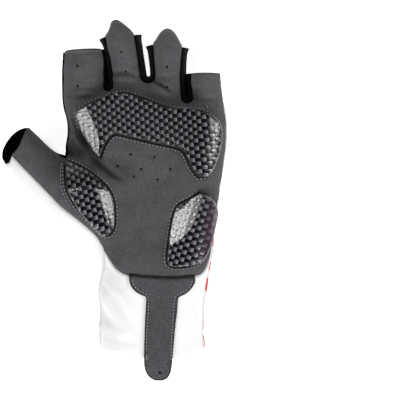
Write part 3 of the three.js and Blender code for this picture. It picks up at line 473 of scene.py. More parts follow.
def distanceTo(points, targets):
    # Distance to the closest target point, from the squares' sum less twice the product
    best = np.empty(len(points))
    square = (targets ** 2).sum(axis=1)
    for first in range(0, len(points), batch):
        part = points[first:first + batch]
        near = (part ** 2).sum(axis=1)[:, None] + square[None] - 2 * part @ targets.T
        best[first:first + batch] = np.sqrt(np.maximum(near.min(axis=1), 0))
    return best


def fromEdges(sheet, cuts):
    # Distance of every point to the sewn edges, which are the border's points off the cuts, and to the cuts
    border = sheet["points"][np.unique(sheet["border"])]
    seams = border[distanceTo(border, cuts) > sewnFrom]
    return distanceTo(sheet["points"], seams), distanceTo(sheet["points"], cuts)


def bell(distance, width):
    # e to the power of minus the square of distance over width
    return np.exp(-(distance / width) ** 2)


def softLine(distance, strength, at, width):
    # A soft line, at some millimetres from where the distance is measured
    return strength * bell(distance - at, width)


def fringe(distance, whole, width):
    # 1 up to a distance and a bell's fall past it
    return bell(np.maximum(distance - whole, 0), width)


def ripple(x, y, size, seed):
    # Soft uneven ground: a sum of waves with drawn directions, lengths and starts, from -1 to 1
    draw = np.random.default_rng(seed)
    total = np.zeros(np.shape(x))
    count = 9
    for _ in range(count):
        angle, start, stretch = draw.uniform(0, 2 * np.pi), draw.uniform(0, 2 * np.pi), draw.uniform(0.6, 1.7)
        along = x * np.cos(angle) + y * np.sin(angle)
        total = total + np.sin(along * 2 * np.pi / (size * stretch) + start)
    return total / np.sqrt(count)


def makeMesh(name, points, faces, materials, kinds=None, uv=None, attributes=None):
    # Four-cornered faces, and three-cornered ones where two corners are the same point
    def onAll(values):
        # What is given for the outer points alone holds for the inner ones too
        values = np.asarray(values, np.float32)
        return np.concatenate([values] * (len(points) // len(values)))
    kinds = np.zeros(len(faces), int) if kinds is None else kinds
    same = faces == np.roll(faces, -1, axis=1)
    whole = ~same.any(axis=1)
    lists, kindLists = [faces[whole].tolist()], [kinds[whole]]
    for corner in range(4):
        cut = same[:, corner]
        lists.append(np.delete(faces[cut], corner, axis=1).tolist())
        kindLists.append(kinds[cut])
    mesh = bpy.data.meshes.new(name)
    mesh.from_pydata((points * metre).tolist(), [], [face for part in lists for face in part])
    mesh.polygons.foreach_set("use_smooth", np.ones(len(mesh.polygons), bool))
    for material in materials:
        mesh.materials.append(material)
    mesh.polygons.foreach_set("material_index", np.concatenate(kindLists).astype(np.int32))
    if uv is not None:
        corner = np.empty(len(mesh.loops), np.int32)
        mesh.loops.foreach_get("vertex_index", corner)
        layer = mesh.uv_layers.new(name="UVMap")
        layer.data.foreach_set("uv", onAll(uv)[corner].ravel())
    for key, values in (attributes or {}).items():
        mesh.attributes.new(key, "FLOAT", "POINT").data.foreach_set("value", onAll(values))
    mesh.update()
    return placeObject(name, mesh)


def shellFaces(quads, border, count):
    # Outer faces, the same turned over on the inner points, and a band along the border; kinds 0, 1 and 2
    a, b = border.T
    band = np.stack([b, a, a + count, b + count], axis=1)
    kinds = np.repeat([0, 1, 2], [len(quads), len(quads), len(band)])
    return np.vstack([quads, quads[:, ::-1] + count, band]), kinds


def closeWall(sheet, rise, wall):
    # Outer points moved out by rise, which always leaves the thinnest cloth, and inner ones in by wall
    rise = np.maximum(rise, thinnest - wall)
    over = sheet["points"] + sheet["out"] * rise[:, None]
    under = sheet["points"] - sheet["out"] * wall
    faces, kinds = shellFaces(sheet["quads"], sheet["border"], len(over))
    return np.vstack([over, under]), faces, kinds


def flatArea(sheet):
    # Area of the sheet: half the cross product of each face's diagonals
    corner = sheet["points"][sheet["quads"]]
    cross = np.cross(corner[:, 2] - corner[:, 0], corner[:, 3] - corner[:, 1])
    return np.linalg.norm(cross, axis=1).sum() / 2 * metre ** 2


def riding(piece, node):
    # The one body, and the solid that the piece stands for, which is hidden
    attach(piece, "root")
    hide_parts(node)


# Materials
def fromHex(value):
    # sRGB to linear: the standard curve, with its straight foot
    channels = np.array([int(value[i:i + 2], 16) / 255 for i in (1, 3, 5)])
    linear = np.where(channels <= 0.04045, channels / 12.92, ((channels + 0.055) / 1.055) ** 2.4)
    return (*linear.tolist(), 1.0)


def addNode(tree, kind, inputs=None, give=0, **settings):
    # A node with its settings, whose inputs are values or the sockets that feed them; gives one live output.
    # A pair under From or To stands for its Min and Max.
    node = tree.nodes.new("ShaderNode" + kind)
    for key, value in settings.items():
        setattr(node, key, value)
    inputs = dict(inputs or {})
    for ends in {"From", "To"} & set(inputs):
        inputs[ends + " Min"], inputs[ends + " Max"] = inputs.pop(ends)
    taken = [socket for socket in node.inputs if socket.enabled]
    for key, value in inputs.items():
        socket = taken[key] if isinstance(key, int) else next(s for s in taken if s.name == key)
        if isinstance(value, bpy.types.NodeSocket):
            tree.links.new(value, socket)
        else:
            socket.default_value = value
    given = [socket for socket in node.outputs if socket.enabled]
    if not given:
        return None
    return given[give] if isinstance(give, int) else next(s for s in given if s.name == give)


def startMaterial(name):
    # A new material with an empty tree
    material = bpy.data.materials.new(name)
    material.use_nodes = True
    material.node_tree.nodes.clear()
    return material, material.node_tree


def finishMaterial(tree, shader):
    # The tree's end: one shader with the given sockets
    surface = addNode(tree, "BsdfPrincipled", shader)
    addNode(tree, "OutputMaterial", {"Surface": surface})


def mixBy(tree, name, first, second):
    # From the first colour to the second, as the mesh's own values of that name go from 0 to 1
    share = addNode(tree, "Attribute", give="Fac", attribute_name=name)
    return addNode(tree, "Mix", {"Factor": share, "A": first, "B": second}, data_type="RGBA")


def noiseScale(size):
    # Noise on coordinates in metres, from the size of its grain in millimetres
    return 1 / (size * metre)


def knitLoops(tree, pitch):
    # Knitted loops, from -1 to 1: a sine across times a sine along, each a pitch long
    uv = addNode(tree, "TexCoord", give="UV")
    angle = addNode(tree, "VectorMath", {0: uv, 1: [2 * np.pi / pitch] * 3}, operation="MULTIPLY")
    wave = addNode(tree, "VectorMath", {0: angle}, operation="SINE")
    rib = addNode(tree, "SeparateXYZ", {0: wave}, give="X")
    course = addNode(tree, "SeparateXYZ", {0: wave}, give="Y")
    return addNode(tree, "Math", {0: rib, 1: course}, operation="MULTIPLY")


suede = {
    "palm": {"tone": "#464648", "light": "#545457", "dark": "#050506", "lightened": "#8b8b90"},
    "strap": {"tone": "#3d3d3f", "light": "#4e4e51", "dark": "#070708", "lightened": "#77777b"},
    "punched": "#040405",
    "grain": 1.3, "cloud": 11, "fibre": 0.4, "pile": 0.14, "holeWidth": (0.66, 0.92),  # mm
    "flecks": (0.32, 0.7), "clouds": (0.35, 0.75), "cloudShare": 0.16, "rough": (0.84, 1.0),
}


def suedeMaterial(name, colours):
    # Microfibre suede: cut and sanded fibres, so matt, with fine light and dark flecks and soft cloudy
    # patches where the nap lies another way; seams, grooves, creases and hollows are darker with painted
    # shade, punched holes are darker, cut edges lighter, and patches of painted light brighten the fingers
    material, tree = startMaterial(name)
    tone, light, dark, lightened = (fromHex(colours[key]) for key in ("tone", "light", "dark", "lightened"))
    place = addNode(tree, "TexCoord", give="Object")
    flecks = addNode(tree, "TexNoise", {"Vector": place, "Scale": noiseScale(suede["grain"]), "Detail": 3.0})
    cloud = addNode(tree, "TexNoise", {"Vector": place, "Scale": noiseScale(suede["cloud"])})
    fibres = addNode(tree, "TexNoise", {"Vector": place, "Scale": noiseScale(suede["fibre"]), "Detail": 4.0})
    lying = addNode(tree, "MapRange", {"Value": flecks, "From": suede["flecks"]})
    nap = addNode(tree, "Mix", {"Factor": lying, "A": tone, "B": light}, data_type="RGBA")
    cloudy = addNode(tree, "MapRange", {
        "Value": cloud, "From": suede["clouds"], "To Max": suede["cloudShare"]})
    soft = addNode(tree, "Mix", {"Factor": cloudy, "A": nap, "B": dark}, data_type="RGBA")
    shaded = mixBy(tree, "shade", mixBy(tree, "lightened", soft, lightened), dark)
    fromHole = addNode(tree, "Attribute", give="Fac", attribute_name="hole")
    hole = addNode(tree, "MapRange", {"Value": fromHole, "From": suede["holeWidth"], "To": (1.0, 0.0)})
    punched = fromHex(suede["punched"])
    colour = addNode(tree, "Mix", {"Factor": hole, "A": shaded, "B": punched}, data_type="RGBA")
    bump = addNode(tree, "Bump", {"Strength": 0.8, "Distance": suede["pile"] * metre, "Height": fibres})
    matt = addNode(tree, "MapRange", {"Value": flecks, "To": suede["rough"]})
    finishMaterial(tree, {
        "Base Color": colour, "Normal": bump, "Roughness": matt, "Specular IOR Level": 0.1,
        "Sheen Weight": 0.05, "Sheen Roughness": 0.5,
    })
    return material


stretchCloth = {
    "pitch": 0.7, "relief": 0.12,  # mm
    "edge": "#020203", "knit": "#070708", "midStrip": "#151517", "knitShare": 0.45, "rough": (0.95, 0.75),
}


def stretchMaterial(name):
    # Black elastane knit: matt, a fine grid of loops, a little lighter away from its seams
    material, tree = startMaterial(name)
    edge, knit, midStrip = (fromHex(stretchCloth[key]) for key in ("edge", "knit", "midStrip"))
    loops = knitLoops(tree, stretchCloth["pitch"])
    ground = mixBy(tree, "middle", edge, midStrip)
    share = addNode(tree, "MapRange", {"Value": loops, "From Min": -1.0, "To Max": stretchCloth["knitShare"]})
    colour = addNode(tree, "Mix", {"Factor": share, "A": ground, "B": knit}, data_type="RGBA")
    relief = stretchCloth["relief"] * metre
    bump = addNode(tree, "Bump", {"Strength": 0.7, "Distance": relief, "Height": loops})
    rough = addNode(tree, "MapRange", {"Value": loops, "From Min": -1.0, "To": stretchCloth["rough"]})
    finishMaterial(tree, {
        "Base Color": colour, "Normal": bump, "Roughness": rough, "Specular IOR Level": 0.08,
    })
    return material


# The black inner faces: a dark sheet standing in for the shade inside the hand
insideShade = {
    "fuzz": 0.8, "relief": 0.2,  # mm
    "dark": "#010101", "light": "#050506", "fuzzRange": (0.3, 0.7), "rough": (0.9, 1.0),
}


def insideShadeMaterial(name):
    # Black inner faces of the hand, a dark sheet that stands in for the deep shade inside the glove: soft
    # fuzz that gives hardly any light back
    material, tree = startMaterial(name)
    dark, light = fromHex(insideShade["dark"]), fromHex(insideShade["light"])
    place = addNode(tree, "TexCoord", give="Object")
    fuzz = addNode(tree, "TexNoise", {"Vector": place, "Scale": noiseScale(insideShade["fuzz"]), "Detail": 3.0})
    share = addNode(tree, "MapRange", {"Value": fuzz, "From": insideShade["fuzzRange"]})
    colour = addNode(tree, "Mix", {"Factor": share, "A": dark, "B": light}, data_type="RGBA")
    bump = addNode(tree, "Bump", {"Strength": 0.6, "Distance": insideShade["relief"] * metre, "Height": fuzz})
    rough = addNode(tree, "MapRange", {"Value": fuzz, "To": insideShade["rough"]})
    finishMaterial(tree, {
        "Base Color": colour, "Normal": bump, "Roughness": rough, "Specular IOR Level": 0.02,
    })
    return material


whiteCloth = {
    "white": "#cacaca", "cuffWhite": "#e1e1e1", "shaded": "#8e8e92", "inHole": "#c2c2c4",
    "red": "#c61a29", "redInHole": "#8a121d",
    "holePitch": 2.8, "holeRow": 1.6, "holeEdge": (0.225, 0.4875), "holeDepth": 0.22,  # mm
    "holeSquash": 1.25,  # how much wider than long a hole is
    "hairline": (-0.12, 0.12),  # mm from the print's edge, over which it is soft
    "meshRough": (0.68, 0.95),
    "rib": 0.9, "ribDepth": 0.08,  # mm
    "ribTone": "#dadadb", "ribShare": 0.3, "cuffRough": (0.68, 0.82),
}


def meshMaterial(name):
    # White perforated polyester knit: satin threads, rows of small open holes, each row half a pitch on,
    # greyer inside with painted shade; the red is printed on it, so it keeps the holes; the mesh's shade
    # values add painted shade along the seams
    material, tree = startMaterial(name)
    white, red, shaded = (fromHex(whiteCloth[key]) for key in ("white", "red", "shaded"))
    whiteInHole, redInHole = fromHex(whiteCloth["inHole"]), fromHex(whiteCloth["redInHole"])
    pitch, rowStep = whiteCloth["holePitch"], whiteCloth["holeRow"]
    squashed = (pitch, rowStep * whiteCloth["holeSquash"], 0)
    uv = addNode(tree, "TexCoord", give="UV")
    cell = addNode(tree, "VectorMath", {0: uv, 1: (1 / pitch, 1 / rowStep, 0)}, operation="MULTIPLY")
    row = addNode(tree, "Math", {0: addNode(tree, "SeparateXYZ", {0: cell}, give="Y")}, operation="FLOOR")
    odd = addNode(tree, "Math", {0: row, 1: 2.0}, operation="FLOORED_MODULO")
    shift = addNode(tree, "Math", {0: odd, 1: 0.5}, operation="MULTIPLY")
    shiftX = addNode(tree, "CombineXYZ", {"X": shift})
    moved = addNode(tree, "VectorMath", {0: cell, 1: shiftX}, operation="ADD")
    inCell = addNode(tree, "VectorMath", {0: moved}, operation="FRACTION")
    fromMiddle = addNode(tree, "VectorMath", {0: inCell, 1: (0.5, 0.5, 0)}, operation="SUBTRACT")
    inMillimetres = addNode(tree, "VectorMath", {0: fromMiddle, 1: squashed}, operation="MULTIPLY")
    away = addNode(tree, "VectorMath", {0: inMillimetres}, operation="LENGTH")
    hole = addNode(tree, "MapRange", {
        "Value": away, "From": whiteCloth["holeEdge"], "To": (1.0, 0.0)}, interpolation_type="SMOOTHSTEP")
    toPrint = addNode(tree, "Attribute", give="Fac", attribute_name="print")
    inRed = addNode(tree, "MapRange", {"Value": toPrint, "From": whiteCloth["hairline"]})
    printed = addNode(tree, "Mix", {"Factor": inRed, "A": white, "B": red}, data_type="RGBA")
    inHole = addNode(tree, "Mix", {"Factor": inRed, "A": whiteInHole, "B": redInHole}, data_type="RGBA")
    holed = addNode(tree, "Mix", {"Factor": hole, "A": printed, "B": inHole}, data_type="RGBA")
    colour = mixBy(tree, "shade", holed, shaded)
    depth = whiteCloth["holeDepth"] * metre
    bump = addNode(tree, "Bump", {"Strength": 0.6, "Distance": depth, "Height": hole}, invert=True)
    rough = addNode(tree, "MapRange", {"Value": hole, "To": whiteCloth["meshRough"]})
    finishMaterial(tree, {
        "Base Color": colour, "Normal": bump, "Roughness": rough, "Specular IOR Level": 0.3,
        "Sheen Weight": 0.15,
    })
    return material


def cuffMaterial(name):
    # White smooth stretch knit: fine ribs up the arm, only just seen; darker where the mesh's shade values
    # give painted shade
    material, tree = startMaterial(name)
    white, ribTone, shaded = (fromHex(whiteCloth[key]) for key in ("cuffWhite", "ribTone", "shaded"))
    knit = knitLoops(tree, whiteCloth["rib"])
    share = addNode(tree, "MapRange", {"Value": knit, "From Min": -1.0, "To Max": whiteCloth["ribShare"]})
    tone = addNode(tree, "Mix", {"Factor": share, "A": white, "B": ribTone}, data_type="RGBA")
    colour = mixBy(tree, "shade", tone, shaded)
    depth = whiteCloth["ribDepth"] * metre
    bump = addNode(tree, "Bump", {"Strength": 0.5, "Distance": depth, "Height": knit})
    rough = addNode(tree, "MapRange", {"Value": knit, "From Min": -1.0, "To": whiteCloth["cuffRough"]})
    finishMaterial(tree, {
        "Base Color": colour, "Normal": bump, "Roughness": rough, "Specular IOR Level": 0.25,
        "Sheen Weight": 0.15,
    })
    return material


carbon = {
    "cell": (2.8, 2.25), "firstCell": 100,  # mm; the cell at the origin, so that none counts below 0
    # The seam tone is painted shade at the film's sewn edges
    "black": "#000000", "blackEnd": "#161617", "low": "#222224", "high": "#7c7c82", "seam": "#020202",
    # Colour of the painted red reflection, then the print's fibre streaks
    "redReflection": "#30162a", "streaks": 6, "streakLow": 0.8,
    "dip": (0.25, 0.5), "arch": (0.5, 0.9), "archCurve": 1.7,  # stretches of two cells, from their left end, for the painted shade of each dip and the painted highlight of each arch
    "rough": (0.22, 0.17), "sewnRough": 0.8,
}


def carbonMaterial(name):
    # Glossy polyurethane film, printed and embossed as a plain weave under a thin clear coat: each bundle
    # across lies nearly black, darkest at its left end where it dips, a painted shade; each bundle up the
    # hand is smoother and grey, brightening along its arch, a painted highlight; a painted red reflection
    # lies on the heel pad
    material, tree = startMaterial(name)
    tones = {key: fromHex(carbon[key]) for key in ("black", "blackEnd", "low", "high", "seam", "redReflection")}
    uv = addNode(tree, "TexCoord", give="UV")
    u = addNode(tree, "SeparateXYZ", {0: uv}, give="X")
    v = addNode(tree, "SeparateXYZ", {0: uv}, give="Y")
    row = addNode(tree, "Math", {0: v}, operation="FLOOR")
    shifted = addNode(tree, "Math", {0: u, 1: row}, operation="ADD")
    pair = addNode(tree, "Math", {0: shifted, 1: 0.5}, operation="MULTIPLY")
    along = addNode(tree, "Math", {0: pair}, operation="FRACT")
    dark = addNode(tree, "MapRange", {"Value": along, "From": carbon["dip"]})
    rising = addNode(tree, "MapRange", {"Value": along, "From": carbon["arch"]})
    turn = addNode(tree, "Math", {0: u, 1: 2 * np.pi * carbon["streaks"]}, operation="MULTIPLY")
    fibre = addNode(tree, "Math", {0: turn}, operation="SINE")
    streak = addNode(tree, "MapRange", {"Value": fibre, "From Min": -1.0, "To Min": carbon["streakLow"]})
    lifting = addNode(tree, "Math", {0: rising, 1: carbon["archCurve"]}, operation="POWER")
    share = addNode(tree, "Math", {0: lifting, 1: streak}, operation="MULTIPLY")
    across = addNode(tree, "Mix", {
        "Factor": dark, "A": tones["black"], "B": tones["blackEnd"]}, data_type="RGBA")
    up = addNode(tree, "Mix", {"Factor": share, "A": tones["low"], "B": tones["high"]}, data_type="RGBA")
    which = addNode(tree, "Math", {0: along, 1: 0.5}, operation="GREATER_THAN")
    woven = addNode(tree, "Mix", {"Factor": which, "A": across, "B": up}, data_type="RGBA")
    # Painted red reflection on the heel pad
    tinted = mixBy(tree, "redReflection", woven, tones["redReflection"])
    # Painted shade at the sewn edges, which are rougher too
    shade = addNode(tree, "Attribute", give="Fac", attribute_name="shade")
    colour = addNode(tree, "Mix", {"Factor": shade, "A": tinted, "B": tones["seam"]}, data_type="RGBA")
    smooth = addNode(tree, "MapRange", {"Value": which, "To": carbon["rough"]})
    rough = addNode(tree, "Mix", {"Factor": shade, "A": smooth, "B": carbon["sewnRough"]}, data_type="FLOAT")
    finishMaterial(tree, {
        "Base Color": colour, "Roughness": rough, "IOR": 1.58, "Coat Weight": 0.2, "Coat Roughness": 0.14,
    })
    return material


thread = {
    "grey": "#8f8f95", "white": "#f0f0f2", "between": "#5c5c61",
    "twist": 0.4,  # mm
    "plies": (0.35, 0.65), "betweenShare": 0.35, "rough": (0.45, 0.65),
}


def threadMaterial(name, tone):
    # Twisted polyester sewing thread: slightly shiny, darker in noise patches, a painted shade between its
    # plies
    material, tree = startMaterial(name)
    lit, between = fromHex(tone), fromHex(thread["between"])
    place = addNode(tree, "TexCoord", give="Object")
    plies = addNode(tree, "TexNoise", {"Vector": place, "Scale": noiseScale(thread["twist"]), "Detail": 1.0})
    share = addNode(tree, "MapRange", {
        "Value": plies, "From": thread["plies"], "To Max": thread["betweenShare"]})
    colour = addNode(tree, "Mix", {"Factor": share, "A": lit, "B": between}, data_type="RGBA")
    rough = addNode(tree, "MapRange", {"Value": plies, "To": thread["rough"]})
    finishMaterial(tree, {
        "Base Color": colour, "Roughness": rough, "Specular IOR Level": 0.4, "Sheen Weight": 0.2,
    })
    return material


palmSuede = suedeMaterial("greyMicrofibreSuede", suede["palm"])
strapSuede = suedeMaterial("greyStrapSuede", suede["strap"])
blackKnit = stretchMaterial("blackElastaneKnit")
paintedInsideShade = insideShadeMaterial("blackPaintedInsideShade")
meshKnit = meshMaterial("whitePerforatedPolyester")
cuffKnit = cuffMaterial("whiteStretchKnit")
carbonFilm = carbonMaterial("glossyCarbonLookFilm")
greyThread = threadMaterial("greyPolyesterThread", thread["grey"])
whiteThread = threadMaterial("whitePolyesterThread", thread["white"])
print("materials made")

# How finely each stretch is divided in the scene, for the palm and, coarser, for the back
fine = {"thumb": (62, 22), "hand": (10, 50), "shared": 72, "lower": 20, "rows": 34, "gap": 13,
        "columns": (46, 34, 34, 42)}
plain = {"thumb": (34, 12), "hand": (8, 30), "shared": 40, "rows": 24, "gap": 9, "columns": (26, 20, 20, 26),
         "cuff": 60, "wrap": (9, 4)}


def stretches(counts):
    # Distances along the side lines, stretch by stretch
    thumb, hand = counts["thumb"], counts["hand"]
    return {
        "thumb": chain(spread(web["mouth"], web["forkStart"], thumb[0]),
                       spread(web["forkStart"], web["fork"], thumb[1])),
        "hand": chain(spread(web["fork"], web["forkEnd"], hand[0]),
                      spread(web["forkEnd"], web["knuckle"], hand[1])),
        "index": spread(web["knuckle"], web["tip"], counts["rows"]),
        "indexBack": spread(web["knuckle"], web["tip"] - form["backCut"], counts["rows"]),
        "thumbOuter": spread(outer["mouth"], outer["wrist"], sum(thumb)),
        "handLittle": spread(little["heel"], little["knuckle"], counts["shared"] + sum(hand)),
        "little": spread(little["knuckle"], little["tip"], counts["rows"]),
        "littleBack": spread(little["knuckle"], little["tip"] - form["backCut"], counts["rows"]),
    }


def fingerPatches(seam, top, edgeLeft, edgeRight, fans, tips, counts):
    # A patch for each finger between the seams at its sides, and the knuckle line below them all
    rows = counts["rows"]
    lefts, rights, floors = [edgeLeft], [], []
    for gap in gaps:
        rights.append(seam(gap, spread(gap["leftTop" + top], gap["bend"], rows), half)[::-1])
        floors.append(seam(gap, spread(gap["bend"], gap["unbend"], counts["gap"]), half))
        lefts.append(seam(gap, spread(gap["unbend"], gap["rightTop" + top], rows), half))
    rights.append(edgeRight)
    grids, knuckle, tops = [], [], []
    for i, (left, right) in enumerate(zip(lefts, rights)):
        bottom = between(left[0], [], right[0], fans[i])
        tops.append(between(left[-1], tips[i], right[-1], fans[i]))
        grids.append(patch(bottom, tops[-1], left, right))
        knuckle.append(bottom)
        if i < len(floors):
            knuckle.append(floors[i])
    return grids, chain(*knuckle), tops


def fingerFans(first, gap, last, columns):
    # How each finger's columns are spaced, from its seams' degrees round the sides
    starts, ends = [first, gap, gap, gap], [gap, gap, gap, last]
    return [fan(start, 180 - end, count) for start, end, count in zip(starts, ends, columns)]


seamDegrees = form["degrees"]
palmAlong = stretches(fine)
palmWeb = {key: seamOf(web, palmAlong[key], half) for key in ("thumb", "hand", "index")}
palmLittle = {key: seamOf(little, palmAlong[key], half) for key in ("handLittle", "little")}
palmFans = fingerFans(seamDegrees["web"], seamDegrees["strip"], seamDegrees["little"], fine["columns"])
palmFingers, palmKnuckle, palmTips = fingerPatches(
    stripSeam, "", palmWeb["index"], palmLittle["little"], palmFans, form["tips"], fine)
wristCorner = seamOf(outer, np.array([outer["wrist"]]), half)[0]
heelCorner = seamOf(little, np.array([little["heel"]]), half)[0]
lower = makeLine(smoothRows(np.vstack([wristCorner[:2], form["lower"], heelCorner[:2]])), -1)
lowerFrom = lower["distance"][form["lowerLeft"] * form["steps"]]
lowerTo = lower["distance"][form["lowerRight"] * form["steps"]]


def lowerEdge(distances, inward):
    # The palm's lower edge in plan, moved to the palm's side
    return plan(onLine(lower, distances, inward))


# Pads: both edges from end to end, x and y of each; and the wide facets: a point on the ridge, the way it
# faces in plan and its tilt in degrees, over the hand's form for facets and level ground for cuts
pads = {
    "pad_crescent": {
        "first": [(-9.6, 26), (-12.6, 30.4), (-15.8, 34.8), (-18.8, 39.8), (-20.5, 45), (-22.1, 51),
                  (-21.2, 53.4), (-13.2, 58), (-5.4, 61.2), (5.4, 64), (18.6, 60), (33, 54.9), (48.6, 53.2),
                  (58.6, 50), (63, 43.4), (62.6, 32), (59, 20), (55.4, 13.8)],
        "second": [(-7.9, 25.2), (-5.8, 31.2), (-3.6, 35.2), (-1.5, 38), (1.4, 39.2), (5, 38.5), (11, 37.1),
                   (18, 35.4), (28, 33.1), (36, 31.4), (40.5, 29.6), (43.2, 26.1), (45.6, 20.6), (48.6, 15.8),
                   (51.6, 13.2)],
        "facets": [(58.4, 47.4, 42, 26)], "cuts": [(-10.8, 42.3, 188, 27)],
        "weaveTurn": 5, "unstitched": 0.115,  # first share of the outline, which has no stitches
        "grid": (360, 76),
    },
    "pad_thumb": {
        "first": [(-28, 22.8), (-25.8, 22.5), (-20, 20), (-12.4, 15.4), (-5, 9), (-1.6, 4.3), (0.3, -1.3),
                  (0.7, -7), (0.8, -13), (-0.2, -17.8), (-2.6, -20.9)],
        "second": [(-29, 21.4), (-28.8, 14.6), (-27.8, 7.2), (-25.3, 1.4), (-20.5, -6), (-16.6, -10.6),
                   (-12.6, -14.6), (-8.9, -18.3), (-6.4, -20.4), (-4.4, -21.4)],
        "facets": [(-7.2, -4.2, 18, 19), (-11.2, 7.2, 45, 28), (-11.2, 7.2, 95, 14)],
        "weaveTurn": 12,
        "grid": (140, 56),
    },
    "pad_heel": {
        "first": [(51, 4.2), (44.4, 0), (38.4, -3.3), (35.7, -8.9), (34.3, -16.2), (33, -24.6), (32, -33),
                  (32.6, -38.4), (36.6, -40.1)],
        "second": [(55.8, 2.4), (59, -2.1), (60.3, -7.2), (59.4, -13.2), (58, -19.8), (56.4, -26.7),
                   (53.6, -33.6), (49.8, -37.7), (43.2, -39.6)],
        "cuts": [(47.6, -13.2, 142, 15)],
        "redReflection": (50.2, -12, -8, 5),  # a point where the painted red reflection starts, the way it grows and over how much
        "weaveTurn": -17,
        "grid": (140, 66),
    },
}
padForm = {  # mm
    "top": 4.15, "shoulder": 2.7, "bevel": 1.15, "lip": 0.4, "low": 0.9, "sunk": 0.35, "soft": 0.07,
    "under": 0.12, "thinnest": 0.1,
    "weave": 0.115, "flatter": 0.45,  # height of the relief, and what share of it the flatter bundles have
    "bare": (0.7, 0.6),  # ramp from the edge in, on which the relief comes
    "blackLine": (0.2, 0.48),  # painted shade along the sewn edge, where it sinks into the suede: how wide it is whole, and over how much it fades
    "redReflection": 0.66, "gather": (0.25, 0.5),  # strength of the painted red reflection; how rows and columns are drawn to the edges
}


def padOutline(pad):
    # Along the first edge, back along the second one and closed at both ends
    first, second = smoothRows(pad["first"]), smoothRows(pad["second"])[::-1]
    return makeLine(np.vstack([first, second, first[:1]]), 1)


def insideOf(outline, x, y):
    # Odd number of outline pieces crossed on the way to the right
    rows = outline["rows"]
    x1, y1, x2, y2 = rows[:-1, 0], rows[:-1, 1], rows[1:, 0], rows[1:, 1]
    inside = np.zeros(len(x), bool)
    for first in range(0, len(x), batch):
        part = slice(first, first + batch)
        px, py = x[part, None], y[part, None]
        crosses = (y1 > py) != (y2 > py)
        rise = np.where(y2 == y1, 1, y2 - y1)
        inside[part] = (crosses & (px < (x2 - x1) * (py - y1) / rise + x1)).sum(axis=1) % 2 == 1
    return inside


def padDistance(outline, x, y):
    # Distance in plan to an outline, less than 0 inside it
    return np.where(insideOf(outline, x, y), -1, 1) * nearLine(outline, x, y)["distance"]


outlines = {name: padOutline(pad) for name, pad in pads.items()}

